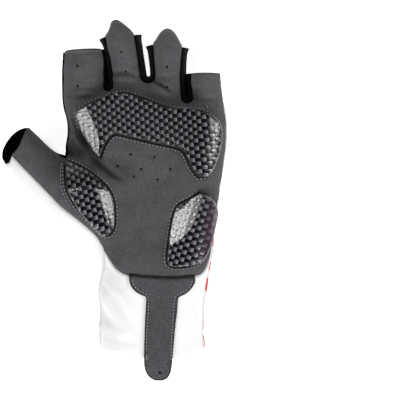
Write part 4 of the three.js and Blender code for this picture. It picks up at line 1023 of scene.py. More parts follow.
# Palm: grooves where the pads are sewn round, creases and folds, punched holes. A soft line has three
# numbers: its depth or darkness, how far from the edge its middle lies, and its width
palm = {
    "wall": 1.5, "ripple": 0.16, "rippleSize": 13,
    "seamDip": (0.95, 0, 0.9), "swell": (0.18, 2.2, 1.0), "cutDip": (0.3, 0, 0.5),
    # Painted shade along the seams and along the cut edges
    "seamDark": (0.6, 0, 0.6), "cutDark": (0.5, 0, 0.35),
    # The last of these is painted shade in the channel under the pads' stitches
    "groove": (0.75, 0.1, 0.6), "channel": (0.22, 1.5, 0.45), "channelDark": (0.15, 1.5, 0.45),
    "padShadow": (0.4, 0.4), "clear": 1.5,  # a painted shadow beside the pads, and mm from a pad at which the folds are whole
    "creaseDark": (0.42, 0.75),  # painted shade in the creases: for each millimetre of depth, and at most
    "creaseSwell": (0.4, 2.1), "creaseFade": 0.6,  # share of the depth, widths from its middle; how blunt
    "creases": [  # points, depth and width
        ([(-26, 60.4), (-17, 62.4), (-8.6, 61.4)], 0.9, 1.4),
        ([(-26, 66.5), (-17, 67.2), (-10, 66)], 0.3, 1.1),
        ([(-3.6, 75.6), (6, 76.4), (15.6, 74.2)], 1.0, 1.3),
        ([(-1.5, 70.5), (7, 71), (15, 69)], 0.3, 1.2),
        ([(22.6, 72.8), (28, 69.6), (34.6, 65.6)], 1.1, 1.1),
        ([(26, 74), (32, 73.4), (39, 74)], 0.3, 1.2),
        ([(46.5, 61.5), (54, 60.4), (62, 61)], 0.5, 1.2),
        ([(-27.2, 44.5), (-24.5, 40.5), (-23.2, 36)], 0.7, 1.4),
        ([(-27, 38), (-23.6, 34.4), (-20.6, 32)], 0.8, 1.3),
        ([(-29, 28.6), (-24, 27.6), (-18, 25.6)], 0.9, 1.3),
        ([(-12.6, 28.4), (-8.6, 23.6), (-3.6, 18.4), (1.6, 14.6), (7, 12.4)], 1.3, 1.5),
        ([(-24.6, 50), (-22.4, 43), (-18.4, 35.4), (-12.6, 28)], 0.7, 1.2),
        ([(-26.6, 48), (-25.2, 41), (-25.6, 34)], 0.5, 0.8),
    ],
    "holes": [(-21.9, 80.4), (-21.9, 68.4), (4.4, 88.8), (7, 77.1), (31.8, 79.8), (31.8, 67.8), (10.2, 27.3),
              (24.3, 25.8), (2.4, 20.4), (16.5, 18.6), (33.9, 18.6), (12, 14.1), (26.1, 12.3)],
    "holeDip": (0.6, 0, 0.8),
    # Painted shade lines along the index finger's hem fold, and a lighter line between them
    "hemLines": [(0.3, 0.55, 0.3), (0.2, 2.5, 0.3), (0.14, 3.9, 0.3)], "hemLightened": (0.22, 1.6, 0.5),
    "tabs": (84, 4), "tabsPast": -8, "tabLightened": (0.4, 0.75, 0.35),  # ramp over y, past this x, and a lighter line along the tabs' cut edges
    "paintedShade": [  # patches of painted shade in the hollows and folds: middle x, y, half length, half width, turn in degrees, how dark
        (-18, 35.4, 16, 4.4, -62, 0.93), (-26.6, 29.6, 6.4, 4.6, 88, 0.93), (-20.6, 28.8, 9, 5.2, -16, 0.8),
        (-10.6, 22.6, 9.5, 3.6, -46, 0.8), (-1.6, 15.4, 9, 4, -30, 0.56), (5.4, 16.4, 10, 6, 0, 0.34),
        (-24, 22.6, 6, 2.4, -14, 0.4), (-24.4, 46.4, 7, 2.2, 82, 0.5),
        (-17, 62, 9.6, 1.9, 4, 0.5), (-11, 64.6, 8, 4.4, 12, 0.34), (5, 75, 9, 2.6, 2, 0.36),
        (2.4, 64.8, 9, 4, 0, 0.4), (28.6, 69, 8, 1.7, -38, 0.5), (27, 61, 12, 3, -20, 0.3),
        (47.4, 62, 5, 3.4, 10, 0.34), (-22, 16, 16, 6, -36, 0.12), (10, 31, 14, 4, -8, 0.1),
        (1, -30, 9, 8, -50, 0.24), (17, -31, 16, 10, 0, 0.16),
    ],
    # Patches of painted light on the fingers, in the same columns
    "paintedLight": [(58, 66, 10, 20, 0, 0.08), (31, 80, 11, 16, 0, 0.045), (5, 82, 11, 18, 0, 0.05),
                 (-19, 74, 10, 16, 0, 0.04)],
}


def creaseDip(creases, x, y):
    # A furrow along each line, deepest at its middle, with a low swell at both its sides
    dip = np.zeros(len(x))
    share, aside = palm["creaseSwell"]
    for points, depth, width in creases:
        curve = makeLine(smoothRows(points))
        near = nearLine(curve, x, y)
        fade = np.sin(np.pi * np.clip(near["along"] / curve["length"], 0, 1)) ** palm["creaseFade"]
        furrow = bell(near["distance"], width) - softLine(near["distance"], share, aside * width, width)
        dip += depth * fade * furrow
    return dip


def paintedPatches(patches, x, y):
    # Soft patches of painted shade and painted light: the strongest of a bell over each turned ellipse
    felt = np.zeros(len(x))
    for atX, atY, long, wide, turn, strength in patches:
        cos, sin = np.cos(np.radians(turn)), np.sin(np.radians(turn))
        across, along = (x - atX) * cos + (y - atY) * sin, (y - atY) * cos - (x - atX) * sin
        felt = np.maximum(felt, strength * np.exp(-(across / long) ** 2 - (along / wide) ** 2))
    return felt


def palmDetail(x, y):
    # Rise of the palm over its form from all that depends on the plan alone, and the painted shade there
    outside = np.min([padDistance(outline, x, y) for outline in outlines.values()], axis=0)
    clear = smoothStep(outside / palm["clear"])
    groove = np.where(outside > 0, softLine(outside, *palm["groove"]), palm["groove"][0])
    dip = creaseDip(palm["creases"], x, y)
    hole = np.sqrt(np.min([(x - hx) ** 2 + (y - hy) ** 2 for hx, hy in palm["holes"]], axis=0))
    rise = clear * (palm["ripple"] * ripple(x, y, palm["rippleSize"], 5) - dip)
    rise = rise - groove - softLine(outside, *palm["channel"])
    rise = rise - softLine(hole, *palm["holeDip"])
    darkening, darkest = palm["creaseDark"]
    # Painted shade beside the pads, in their stitch channels, in the creases and in listed patches
    dark = fringe(outside, *palm["padShadow"]) + softLine(outside, *palm["channelDark"])
    dark = dark + clear * np.clip(dip * darkening, 0, darkest)
    dark = np.maximum(dark, paintedPatches(palm["paintedShade"], x, y))
    return rise, np.clip(dark, 0, 1), hole


def lifted(points, up=True):
    # Plan points of the palm side, or of the back, as points in space
    return sheetPoints(*points.T, up)[0]


def makePalm():
    # Patches of hand, fingers and thumb welded to one sheet, dipped along its seams and given its thickness
    fork = palmWeb["hand"][:1]
    shared = between(wristCorner, form["thumbLine"], fork[0], spread(0, 1, fine["shared"]))
    leftDistances = spread(0, lowerFrom, fine["lower"])
    rightDistances = spread(lowerTo, lower["length"], fine["lower"])
    middle = lowerFrom + (lowerTo - lowerFrom) * shareAlong(palmKnuckle)
    leftEdge = np.vstack([lowerEdge(leftDistances, half)[1:][::-1], wristCorner])
    rightEdge = np.vstack([lowerEdge(rightDistances, half)[:-1], heelCorner])
    left = chain(leftEdge, shared, palmWeb["hand"])
    right = chain(rightEdge, palmLittle["handLittle"])
    bottom = lowerEdge(middle, half)
    bottom[0], bottom[-1] = left[0], right[0]
    thumbSeam = seamOf(outer, palmAlong["thumbOuter"], half)
    mouth = between(thumbSeam[0], form["mouthPalm"][::-1], palmWeb["thumb"][0],
                    fan(seamDegrees["mouth"], 180 - seamDegrees["web"], fine["shared"]))
    patches = [patch(bottom, palmKnuckle, left, right), *palmFingers,
               patch(thumbSeam, palmWeb["thumb"], mouth, shared)]
    sheet = weld([(grid, True) for grid in patches])
    points = sheet["points"]
    x, y = points[:, 0], points[:, 1]
    toSeam, toCut = fromEdges(sheet, np.vstack([lifted(edge) for edge in [mouth, *palmTips]]))
    toHem = distanceTo(points, lifted(palmTips[0]))
    rise, dark, hole = palmDetail(x, y)
    rise = rise - softLine(toSeam, *palm["seamDip"]) - softLine(toCut, *palm["cutDip"])
    rise = rise + softLine(toSeam, *palm["swell"])
    # Painted shade along the seams, the cut edges and the index finger's hem fold
    shade = dark + softLine(toSeam, *palm["seamDark"]) + softLine(toCut, *palm["cutDark"])
    shade = shade + sum(softLine(toHem, *row) for row in palm["hemLines"])
    # Lighter lines along the tabs' cut edges and beside the hem, and patches of painted light
    onTabs = ramp(y, *palm["tabs"]) * (x > palm["tabsPast"])
    lightened = softLine(toCut, *palm["tabLightened"]) * onTabs + softLine(toHem, *palm["hemLightened"])
    lightened = lightened + paintedPatches(palm["paintedLight"], x, y)
    closed, faces, kinds = closeWall(sheet, rise, palm["wall"])
    piece = makeMesh("palmSuede", closed, faces, [palmSuede, paintedInsideShade, palmSuede], kinds, sheet["flat"],
                     {"shade": np.clip(shade, 0, 1), "hole": hole, "lightened": lightened})
    riding(piece, "palm_panel")
    print("palm made, area", round(flatArea(sheet), 5), "faces", len(faces))


makePalm()

# Back of the glove with its print
back = {
    "wall": 1.3, "seamDepth": 0.8, "seamWidth": 0.9, "swell": (0.35, 1.9, 0.9), "cutDip": (0.3, 0, 0.5),
    "ripple": 0.15, "rippleSize": 22, "clear": 3, "resting": (0.5, 3),  # mm from seams; ramp above the table
    "seamDark": (0.5, 0.08), "darkWidth": 0.7,  # painted shade along the seams, on the hand and on the cuff, and its width
    "cuff": (-36, -6), "cuffEase": 0.82,  # ramp over y on which the seams flatten, and by what share
    "whiteInside": -34,  # the black inner faces end at this y
    "tuck": ([(-15, -28.4), (-12, -31), (-9.6, -32.6)], 0.8, 0.9), "tuckAbove": 8,
    "mouthCorner": (-64.2, 23.9, 3.2, 1.9),  # x, y, reach and depth of a dent
    "cornerWay": 0.7, "cornerOver": 2,  # its share in x and in y; mm above the side line to its full depth
    "zigzag": {
        "above": 9, "height": 1.8, "step": 1.5, "leg": 0.95, "groove": 0.45, "ends": ((-4, -88.6), (50, -92)),
    },
    "webRows": {"aside": (-1, 1), "ends": (4, 6), "steps": 160},  # stitches to both sides of the web's seam
    "printEdge": 20.4, "farSide": 54,
    "bands": [  # red stripes: lower and upper edge at the print's straight side, and at its far side
        ((-4.1, -0.1), (-24, -19.5)), ((-16, -12), (-35, -31)), ((-27.3, -21.6), (-43.5, -37.5)),
        ((-40.9, -30.7), (-56.5, -46)), ((-110, -43), (-110, -59)),
    ],
    "dotWidth": 0.6,  # as a share of its length
    "dots": [  # x, y and half length
        (44.3, 24.5, 0.9), (52.2, 26.5, 0.9), (50.4, 20.6, 0.9), (59, 29, 1.3), (57.8, 22.7, 1.3),
        (56, 16.5, 1.3), (65.7, 30.7, 1.8), (64.2, 24.7, 1.8), (62.6, 18.8, 1.8), (60.6, 13.2, 1.8),
        (70.6, 33, 2), (69.4, 27.3, 2), (67.7, 21.6, 2), (65.8, 16, 2), (63.6, 10.3, 2),
    ],
    "marks": [  # on the palm side: lower and upper end, width there from the side line
        (-28.4, -23.4, 0.3, 1.7), (-43.4, -37.2, 0.3, 2.6), (-55.2, -46.8, 0.8, 2.6), (-76, -72, 0.45, 0.45),
        (-90, -81.6, 0.5, 0.6),
    ],
    "marksPast": 30,  # the x past which they are
    "sideRise": 0.6,  # mm above the side line from which it counts as the palm side
    "unprinted": -5,  # mm from the print, for all that has none
}


def printOn(u, v, x, y, z):
    # Signed distance into the red: stripes slope down from a straight edge, dots lie in a slanted fan,
    # and on the palm side's wrap only the stripes' ends show
    share = (u - back["printEdge"]) / (back["farSide"] - back["printEdge"])
    stripes = [
        np.minimum(v - (near[0] + share * (far[0] - near[0])), near[1] + share * (far[1] - near[1]) - v)
        for near, far in back["bands"]]
    inStripes = np.minimum(np.max(stripes, axis=0), u - back["printEdge"])
    squash = back["dotWidth"]
    dots = np.max([
        size * squash - np.hypot((u - du) * squash, (v - dv)) for du, dv, size in back["dots"]], axis=0)
    fromRim = nearLine(little, x, y)["distance"]
    marks = np.max([np.min([
        y - low, high - y, lower + (upper - lower) * (y - low) / (high - low) - fromRim,
    ], axis=0) for low, high, lower, upper in back["marks"]], axis=0)
    below, _, lift = section(x, y)
    palmSide = z > lift + below + back["sideRise"]
    palmMarks = np.where(u > back["marksPast"], marks, back["unprinted"])
    return np.where(palmSide, palmMarks, np.maximum(inStripes, dots))


def wrapOf(curve, distances, count):
    # The back's band past the side line, up to the palm's seam
    inner = seamOf(curve, distances, -half)
    return ruled(rimOf(curve, distances), inner, fan(0, seamDegrees["wrap"], count))


webCorner = np.array([*form["mouthBack"][form["mouthWeb"]], 0])
webCornerGap = half * np.array([0.7, 0.7, 0])  # slantwise, as the web strip's edge runs there


def makeBack():
    # Patches of hand, fingers, thumb and cuff, with the bands that wrap round to the palm side
    backAlong = stretches(plain)
    cuffOuter = spread(outer["wrist"], outer["hem"], plain["cuff"])
    cuffLittle = spread(little["hem"], little["heel"], plain["cuff"])
    fans = fingerFans(seamDegrees["webBack"], form["backSeam"], 0, plain["columns"])
    fingers, knuckle, tops = fingerPatches(
        stripSeamBack, "Back", reachOf(backAlong["indexBack"], half), rimOf(little, backAlong["littleBack"]),
        fans, [[], [], [], []], plain)
    fork = reachOf(backAlong["hand"][:1], half)[0]
    wrist = rimOf(outer, np.array([outer["wrist"]]))[0]
    shared = between(wrist, form["thumbLineBack"], fork, spread(0, 1, plain["shared"]))
    left = chain(rimOf(outer, cuffOuter[::-1]), shared, reachOf(backAlong["hand"], half))
    rightSide = chain(cuffLittle, backAlong["handLittle"])
    right = rimOf(little, rightSide)
    bottom = between(left[0], form["hem"], right[0], shareAlong(knuckle))
    thumbWeb = reachOf(backAlong["thumb"], half)
    thumbWeb[0] = webCorner - webCornerGap
    thumbRim = rimOf(outer, backAlong["thumbOuter"])
    mouth = between(thumbRim[0], form["mouthBack"][form["mouthWeb"] + 1:][::-1], thumbWeb[0],
                    spread(0, 1, plain["shared"]))
    backs = [patch(bottom, knuckle, left, right), *fingers, patch(thumbRim, thumbWeb, mouth, shared)]
    wraps = [wrapOf(outer, chain(backAlong["thumbOuter"], cuffOuter), plain["wrap"][0]),
             wrapOf(little, chain(rightSide, backAlong["littleBack"]), plain["wrap"][1])]
    sheet = weld([(grid, False) for grid in backs] + [(grid, True) for grid in wraps])
    points = sheet["points"]
    below, _, lift = section(points[:, 0], points[:, 1])
    cornerX, cornerY, reach, depth = back["mouthCorner"]
    push = depth * bell(np.hypot(points[:, 0] - cornerX, points[:, 1] - cornerY), reach)
    push = push * smoothStep((points[:, 2] - lift - below) / back["cornerOver"])
    points[:, 0] += back["cornerWay"] * push
    points[:, 1] -= back["cornerWay"] * push
    x, y, z = points.T
    hemLine = lifted(bottom, False)
    toSeam, toCut = fromEdges(sheet, np.vstack([*[lifted(edge, False) for edge in [mouth, *tops]], hemLine]))
    onCuff = ramp(y, *back["cuff"])
    inside = smoothStep(toSeam / back["clear"])
    rise = back["ripple"] * ripple(x, y, back["rippleSize"], 11) * inside
    rise = rise * ramp(z, *back["resting"])
    seamDepth = back["seamDepth"] * (1 - back["cuffEase"] * onCuff)
    rise = rise - seamDepth * (bell(toSeam, back["seamWidth"]) - softLine(toSeam, *back["swell"]))
    zigzag = back["zigzag"]
    rise = rise - softLine(toCut, *back["cutDip"]) - creaseDip([back["tuck"]], x, y) * (z > back["tuckAbove"])
    rise = rise - softLine(distanceTo(points, hemLine), zigzag["groove"], zigzag["above"], zigzag["height"])
    onHand, onWrist = back["seamDark"]
    # Painted shade along the seams, fading on the cuff
    shade = bell(toSeam, back["darkWidth"]) * (onHand + (onWrist - onHand) * onCuff)
    closed, faces, kinds = closeWall(sheet, rise, back["wall"])
    innerWhite = y[sheet["quads"][:, 0]] < back["whiteInside"]
    kinds[kinds == 1] = np.where(innerWhite, 0, 1)
    kinds[kinds == 2] = np.where(y[sheet["border"][:, 0]] < back["whiteInside"], 0, 1)
    red = printOn(sheet["flat"][:, 0], sheet["flat"][:, 1], x, y, z)
    piece = makeMesh("backMesh", closed, faces, [meshKnit, paintedInsideShade], kinds, sheet["flat"],
                     {"shade": shade, "print": np.concatenate([red, np.full(len(x), back["unprinted"])])})
    riding(piece, "back_panel")
    print("back made, area", round(flatArea(sheet), 5), "faces", len(faces))


makeBack()

# Inner side of the cuff
cuff = {
    "wall": 1.3, "columns": 140, "endColumns": 24, "rows": 84, "corner": 0.36,
    "seamDip": (0.12, 0, 0.8), "yokeDip": (0.63, 0, 0.8), "cutDip": (0.35, 0, 0.5),
    # Painted shade: along the side seams, under the palm's edge, along the hem's cut and in the folds
    "seamDark": (0.03, 0, 0.7), "yokeDark": (0.5, 0, 0.7), "cutDark": (0.2, 0, 0.4),
    "ripple": 0.12, "rippleSize": 26, "clear": 2.5, "foldDark": 0.2,
    "hemRise": 0.12, "hemStep": (6.9, -1.6),  # ramp from past the hem's stitches down to them
    "strap": ((15, 4), (42, -4)),  # ramps over x to both sides, on which the cloth goes flat under it
    "pressedFrom": 0.01, "pressed": 0.05,  # from this share of flatness on, and the most that it lets rise
    "folds": [
        ([(-7, -51), (0, -60), (7, -70), (13, -77)], 0.6, 2.8),
        ([(-8, -64), (-5, -70), (-1, -76)], 0.6, 2.6),
        ([(-9, -48), (-6.5, -54), (-7.5, -60)], 0.45, 2.2),
        ([(42, -54), (48, -62), (51, -74)], 0.3, 2.8),
        ([(-7, -80), (2, -84), (12, -86)], 0.2, 2.4),
    ],
}


def makeCuff():
    # One patch between hem, palm edge and side seams, with folds to both sides of the strap
    ends = cuff["endColumns"]
    top = chain(spread(0, lowerFrom, ends), spread(lowerFrom, lowerTo, cuff["columns"] - 2 * ends),
                spread(lowerTo, lower["length"], ends))
    upper = lowerEdge(top, -half)
    left = seamOf(outer, spread(outer["hem"], outer["wrist"], cuff["rows"]), half)
    right = seamOf(little, spread(little["hem"], little["heel"], cuff["rows"]), half)
    left[-1] = seamOf(outer, np.array([outer["wrist"] - cuff["corner"]]), half)[0]
    right[-1] = seamOf(little, np.array([little["heel"] - cuff["corner"]]), half)[0]
    upper[0], upper[-1] = left[-1], right[-1]
    bottom = between(left[0], form["hem"], right[0], shareAlong(upper))
    sheet = weld([(patch(bottom, upper, left, right), True)])
    x, y = sheet["points"][:, 0], sheet["points"][:, 1]
    toSeam, toCut = fromEdges(sheet, lifted(bottom))
    toYoke = distanceTo(sheet["points"], lifted(upper))
    underStrap = ramp(x, *cuff["strap"][0]) * ramp(x, *cuff["strap"][1])
    folds = creaseDip(cuff["folds"], x, y) * (1 - underStrap) * smoothStep(toSeam / cuff["clear"])
    rise = -folds + cuff["ripple"] * ripple(x, y, cuff["rippleSize"], 3) * (1 - underStrap)
    rise = rise - softLine(toSeam, *cuff["seamDip"]) - softLine(toYoke, *cuff["yokeDip"])
    rise = rise + (cuff["hemRise"] * ramp(toCut, *cuff["hemStep"]) - softLine(toCut, *cuff["cutDip"]))
    rise = np.where(underStrap > cuff["pressedFrom"], np.minimum(rise, cuff["pressed"]), rise)
    # Painted shade along the side seams, under the palm's edge, along the hem and in the folds
    shade = softLine(toSeam, *cuff["seamDark"]) + softLine(toYoke, *cuff["yokeDark"])
    shade = shade + softLine(toCut, *cuff["cutDark"]) + np.clip(folds, 0, 1) * cuff["foldDark"]
    closed, faces, _ = closeWall(sheet, rise, cuff["wall"])
    piece = makeMesh("cuffKnit", closed, faces, [cuffKnit], None, sheet["flat"],
                     {"shade": np.clip(shade, 0, 1)})
    riding(piece, "wrist_panel")
    print("cuff made, area", round(flatArea(sheet), 5))


makeCuff()

# Black strips between the fingers
strips = {
    "wall": 1.3, "rows": 44, "floor": 16, "across": 9, "seamDip": (0.6, 0, 0.7), "bulgeWidth": 1.6,
    "pressed": 0.42, "open": 0.1,  # how far the fold bulges, in a closed gap and in an open one
    "flare": 0.6, "flareLength": 3.5,
    "midStrip": (0.6, 1.4),  # ramp from the seams in, on which the knit gets lighter
}


def makeStrip(gap):
    # From the seam on the palm side, over the fold in the gap, to the seam on the back
    def distances(top):
        return chain(spread(gap["leftTop" + top], gap["bend"], strips["rows"]),
                     spread(gap["bend"], gap["unbend"], strips["floor"]),
                     spread(gap["unbend"], gap["rightTop" + top], strips["rows"]))
    front, rear = distances(""), distances("Back")
    edge = rimOf(gap, front)
    frontSeam, rearSeam = stripSeam(gap, front, -half), stripSeamBack(gap, rear, -half)
    sheet = weld([
        (ruled(edge, frontSeam, fan(0, seamDegrees["strip"], strips["across"])), True),
        (ruled(edge, rearSeam, fan(0, form["backSeam"], strips["across"])), False),
    ])
    points = sheet["points"]
    toSeam = distanceTo(points, np.vstack([lifted(frontSeam), lifted(rearSeam, False)]))
    toEdge = distanceTo(points, lifted(edge))
    closedGap = gap["half"] < strips["pressed"]
    ends = lifted(edge)[[0, -1]]
    free = ends[ends[:, 1] > ends[:, 1].mean()] if closedGap else ends
    bulge = strips["pressed"] if closedGap else strips["open"]
    rise = bulge * bell(toEdge, strips["bulgeWidth"]) - softLine(toSeam, *strips["seamDip"])
    rise = rise + strips["flare"] * smoothStep(1 - distanceTo(points, free) / strips["flareLength"])
    closed, faces, kinds = closeWall(sheet, rise, strips["wall"])
    piece = makeMesh("strip_" + gap["name"], closed, faces, [blackKnit, paintedInsideShade, blackKnit], kinds,
                     sheet["flat"], {"middle": ramp(toSeam, *strips["midStrip"])})
    riding(piece, "fourchette_" + gap["name"])
    area = flatArea(sheet)
    print("strip made:", gap["name"], "area", round(area, 6))


for gap in gaps:
    makeStrip(gap)

# Carbon-look strip round the fork of thumb and index finger
webStrip = {
    # dark is painted shade along the strip's borders
    "wall": 1.2, "across": 16, "seamDip": (0.5, 0, 0.7), "seamFrom": 2, "dark": (0.8, 0, 0.6),
    "proud": 0.8, "past": (-36, 4),  # how far it stands out, and the ramp over x on which it comes to that
    "forkProud": 0.7, "fork": (34, 11), "forkPast": (-34, 4),  # so much more at the fork: y, reach and ramp
    "roll": (0.6, 2.2),  # mm from the side line to the middle of what stands proud, and its width
    # mm from the side line within which the faces are black knit
    "blackBand": 3.2,
}


def makeWeb():
    # From the palm seam round the side line to its edge on the back, standing proud most at the fork
    webAlong = stretches(plain)
    distances = chain(webAlong["thumb"], webAlong["hand"], webAlong["index"])
    edge = rimOf(web, distances)
    far = reachOf(chain(webAlong["thumb"], webAlong["hand"], webAlong["indexBack"]), -half)
    far[0] = webCorner + webCornerGap
    shares = fan(0, seamDegrees["webBack"], webStrip["across"])
    mouth = between(edge[0], form["mouthBack"][:form["mouthWeb"]], far[0], shares)
    tip = between(edge[-1], [], far[-1], shares)
    sheet = weld([
        (ruled(edge, seamOf(web, distances, -half), spread(0, 1, 2)), True),
        (patch(mouth, tip, edge, far), False),
    ])
    points = sheet["points"]
    toBorder = distanceTo(points, points[np.unique(sheet["border"])])
    toEdge = distanceTo(points, lifted(edge))
    atFork = softLine(points[:, 1], 1, *webStrip["fork"]) * ramp(points[:, 0], *webStrip["forkPast"])
    proud = (webStrip["proud"] + webStrip["forkProud"] * atFork) * ramp(points[:, 0], *webStrip["past"])
    rolled, rollWidth = webStrip["roll"]
    rise = softLine(toEdge, proud, rolled, rollWidth)
    rise = rise - softLine(toBorder, *webStrip["seamDip"]) * (toEdge > webStrip["seamFrom"])
    closed, faces, kinds = closeWall(sheet, rise, webStrip["wall"])
    inBlackBand = toEdge[sheet["quads"]].max(axis=1) < webStrip["blackBand"]
    kinds[:len(inBlackBand)][inBlackBand] = 2
    none = np.zeros(len(points))
    piece = makeMesh("webStrip", closed, faces, [carbonFilm, paintedInsideShade, blackKnit], kinds,
                     sheet["flat"] / carbon["cell"],
                     {"shade": softLine(toBorder, *webStrip["dark"]), "middle": none, "redReflection": none})
    riding(piece, "web_patch")
    print("web strip made, area", round(flatArea(sheet), 6))


makeWeb()


def slabMesh(name, over, under, rows, columns, material, uv, attributes):
    # Closed slab: an upper grid, a lower one turned over, and a band between their borders
    quads = gridQuads(np.arange(rows * columns).reshape(rows, columns))
    corner = over[quads]
    if np.cross(corner[:, 2] - corner[:, 0], corner[:, 3] - corner[:, 1])[:, 2].sum() < 0:
        quads = quads[:, ::-1]
    faces, _ = shellFaces(quads, borderOf(quads), len(over))
    return makeMesh(name, np.vstack([over, under]), faces, [material], None, uv, attributes)


def softMin(a, b, soft):
    # Lesser of two heights, with the corner between them rounded over a soft width
    share = np.clip(0.5 + 0.5 * (b - a) / soft, 0, 1)
    return b + share * (a - b) - soft * share * (1 - share)


def weaveRelief(u, v):
    # Plain weave: in every second cell the bundle along v arches over, in the others the one along u
    inU, inV = u % 1, v % 1
    bundle = (np.floor(u) + np.floor(v)) % 2 == 1
    along = np.where(bundle, np.sin(np.pi * inV), np.sin(np.pi * inU))
    across = np.where(bundle, np.abs(inU - 0.5), np.abs(inV - 0.5)) * 2
    return np.where(bundle, 1, padForm["flatter"]) * along * np.sqrt(np.clip(1 - across ** 4, 0, 1))


def gathered(count, share):
    # Even steps from 0 to 1, drawn to both ends by a share of half a cosine wave
    even = np.linspace(0, 1, count)
    return (1 - share) * even + share * (0.5 - 0.5 * np.cos(np.pi * even))


def pastPoint(x, y, atX, atY, faces):
    # Distance in plan past a point, in the direction faced
    facing = np.radians(faces)
    return (x - atX) * np.cos(facing) + (y - atY) * np.sin(facing)


def padTop(pad, x, y, base, out):
    # The lowest of the flat top, the facets that fall from it and the level cuts
    top = np.full(len(x), padForm["top"])
    for atX, atY, faces, tilt in pad.get("facets", []):
        fall = pastPoint(x, y, atX, atY, faces) * np.tan(np.radians(tilt))
        top = softMin(top, padForm["top"] - fall, padForm["soft"])
    for atX, atY, faces, tilt in pad.get("cuts", []):
        fall = pastPoint(x, y, atX, atY, faces) * np.tan(np.radians(tilt))
        corner, rising, _ = sheetPoints(np.array([atX]), np.array([atY]), np.zeros(1), True)
        level = corner[0, 2] + padForm["top"] * rising[0, 2] - fall
        top = softMin(top, (level - base[:, 2]) / out[:, 2], padForm["soft"])
    return np.maximum(top, padForm["low"])


def makePad(name):
    # Height: a rounded lip at the sewn edge, a steep border, then the top; the weave stands on it in relief
    pad, outline = pads[name], outlines[name]
    first, second = makeLine(smoothRows(pad["first"])), makeLine(smoothRows(pad["second"]))
    rows, columns = pad["grid"]
    share = gathered(rows, padForm["gather"][0])
    a, b = onLine(first, share * first["length"]), onLine(second, share * second["length"])
    across = gathered(columns, padForm["gather"][1])
    grid = (a[:, None] + across[None, :, None] * (b - a)[:, None]).reshape(-1, 2)
    x, y = grid.T
    inside = np.maximum(-padDistance(outline, x, y), 0)
    base, out, _ = sheetPoints(x, y, np.zeros(len(x)), True)
    border = padForm["shoulder"] + (padForm["top"] - padForm["shoulder"]) * inside / padForm["bevel"]
    height = softMin(border, padTop(pad, x, y, base, out), padForm["soft"])
    lip = np.clip(inside / padForm["lip"], 0, 1)
    height = -padForm["sunk"] + (height + padForm["sunk"]) * np.sqrt(1 - (1 - lip) ** 2)
    turn = np.radians(pad["weaveTurn"])
    u = (x * np.cos(turn) + y * np.sin(turn)) / carbon["cell"][0] + carbon["firstCell"]
    v = (-x * np.sin(turn) + y * np.cos(turn)) / carbon["cell"][1] + carbon["firstCell"]
    weave = padForm["weave"] * weaveRelief(u, v) * ramp(inside, *padForm["bare"])
    over = base + out * (height + weave)[:, None]
    under = base + out * np.minimum(padForm["under"], height - padForm["thinnest"])[:, None]
    # A painted red reflection on the heel pad, growing past a point
    redReflection = np.zeros(len(x))
    if "redReflection" in pad:
        *glowing, width = pad["redReflection"]
        redReflection = padForm["redReflection"] * smoothStep(pastPoint(x, y, *glowing) / width)
    # Painted shade along the sewn edge
    piece = slabMesh(name + "_film", over, under, rows, columns, carbonFilm, np.stack([u, v], axis=1),
                     {"shade": fringe(inside, *padForm["blackLine"]), "redReflection": redReflection})
    riding(piece, name)
    print("pad made:", name)


for name in pads:
    makePad(name)

# Pull strap: doubled suede, sewn on the cuff down to the hem and free past it
strap = {
    "rows": [  # y, left and right edge
        (-45.2, 9.2, 48.4), (-48, 9.3, 48.5), (-50.4, 9.9, 47.9), (-52.6, 11.2, 46.5), (-54.4, 12.8, 44.9),
        (-55.9, 14.9, 43), (-57, 17.2, 41), (-58, 19.2, 39.1), (-60.6, 19.4, 38.3), (-67, 19.1, 37.8),
        (-78, 18.6, 36.6), (-88, 18.3, 35.7), (-93, 18.2, 35.3), (-99, 18.3, 34.8), (-103.6, 19.6, 33.9),
        (-106.6, 22.2, 32), (-108, 25.2, 29.4),
    ],
    "hem": -93, "wall": 1.6, "gap": 0.14, "droop": 1.2, "grid": (150, 60), "gather": 0.3,
    # Painted shade on the rounded edges, in the sewn channels and under the palm's edge
    "edge": 1.0, "rim": 0.45, "edgeDark": (0.85, 0, 0.8),  # width and height of the rounding at its edges
    "channel": (0.3, 1.6, 0.5), "channelDark": (0.25, 1.6, 0.5),
    "crown": 0.25, "crownFrom": (2, 5), "ripple": 0.1, "rippleSize": 17, "rippleFrom": (1, 3),
    "hole": (27.6, -102.9), "holeDip": (0.8, 0, 0.6),
    "lightened": (0.3, 1.5, 0.35), "lightenedFrom": (-97, -4),  # lighter lines along its edges, on its free end alone
    "tuck": 0.8, "tuckDip": (0.9, 0, 0.9), "tuckDark": (0.7, 0.4, 0.7),  # in the palm's seam
    "under": (0, 56),  # the palm's edge that it may lie under, in x
    "top": 7,  # mm from its upper end over which its rows bend to follow that edge
    "square": -50,  # above this only the sides are rounded
}
strapLine = smoothRows(strap["rows"])


def strapBase(x, y):
    # The cuff's surface down to the hem, then level from there with a sag that grows as the square
    held = np.maximum(y, strap["hem"])
    points, out, _ = sheetPoints(x, held, np.zeros(len(x)), True)
    past = (held - y) / (strap["hem"] - strap["rows"][-1][0])
    points[:, 1] = y
    points[:, 2] -= strap["droop"] * past ** 2
    return points, out


strapOutline = makeLine(np.vstack([
    np.column_stack([strapLine[:, 1], strapLine[:, 0]]),
    np.column_stack([strapLine[:, 2], strapLine[:, 0]])[::-1],
    [(strapLine[0, 1], strapLine[0, 0])],
]), 1)


def strapSides(y):
    # Left and right edge of the strap at a height in plan
    return (np.interp(-y, -strapLine[:, 0], strapLine[:, side]) for side in (1, 2))


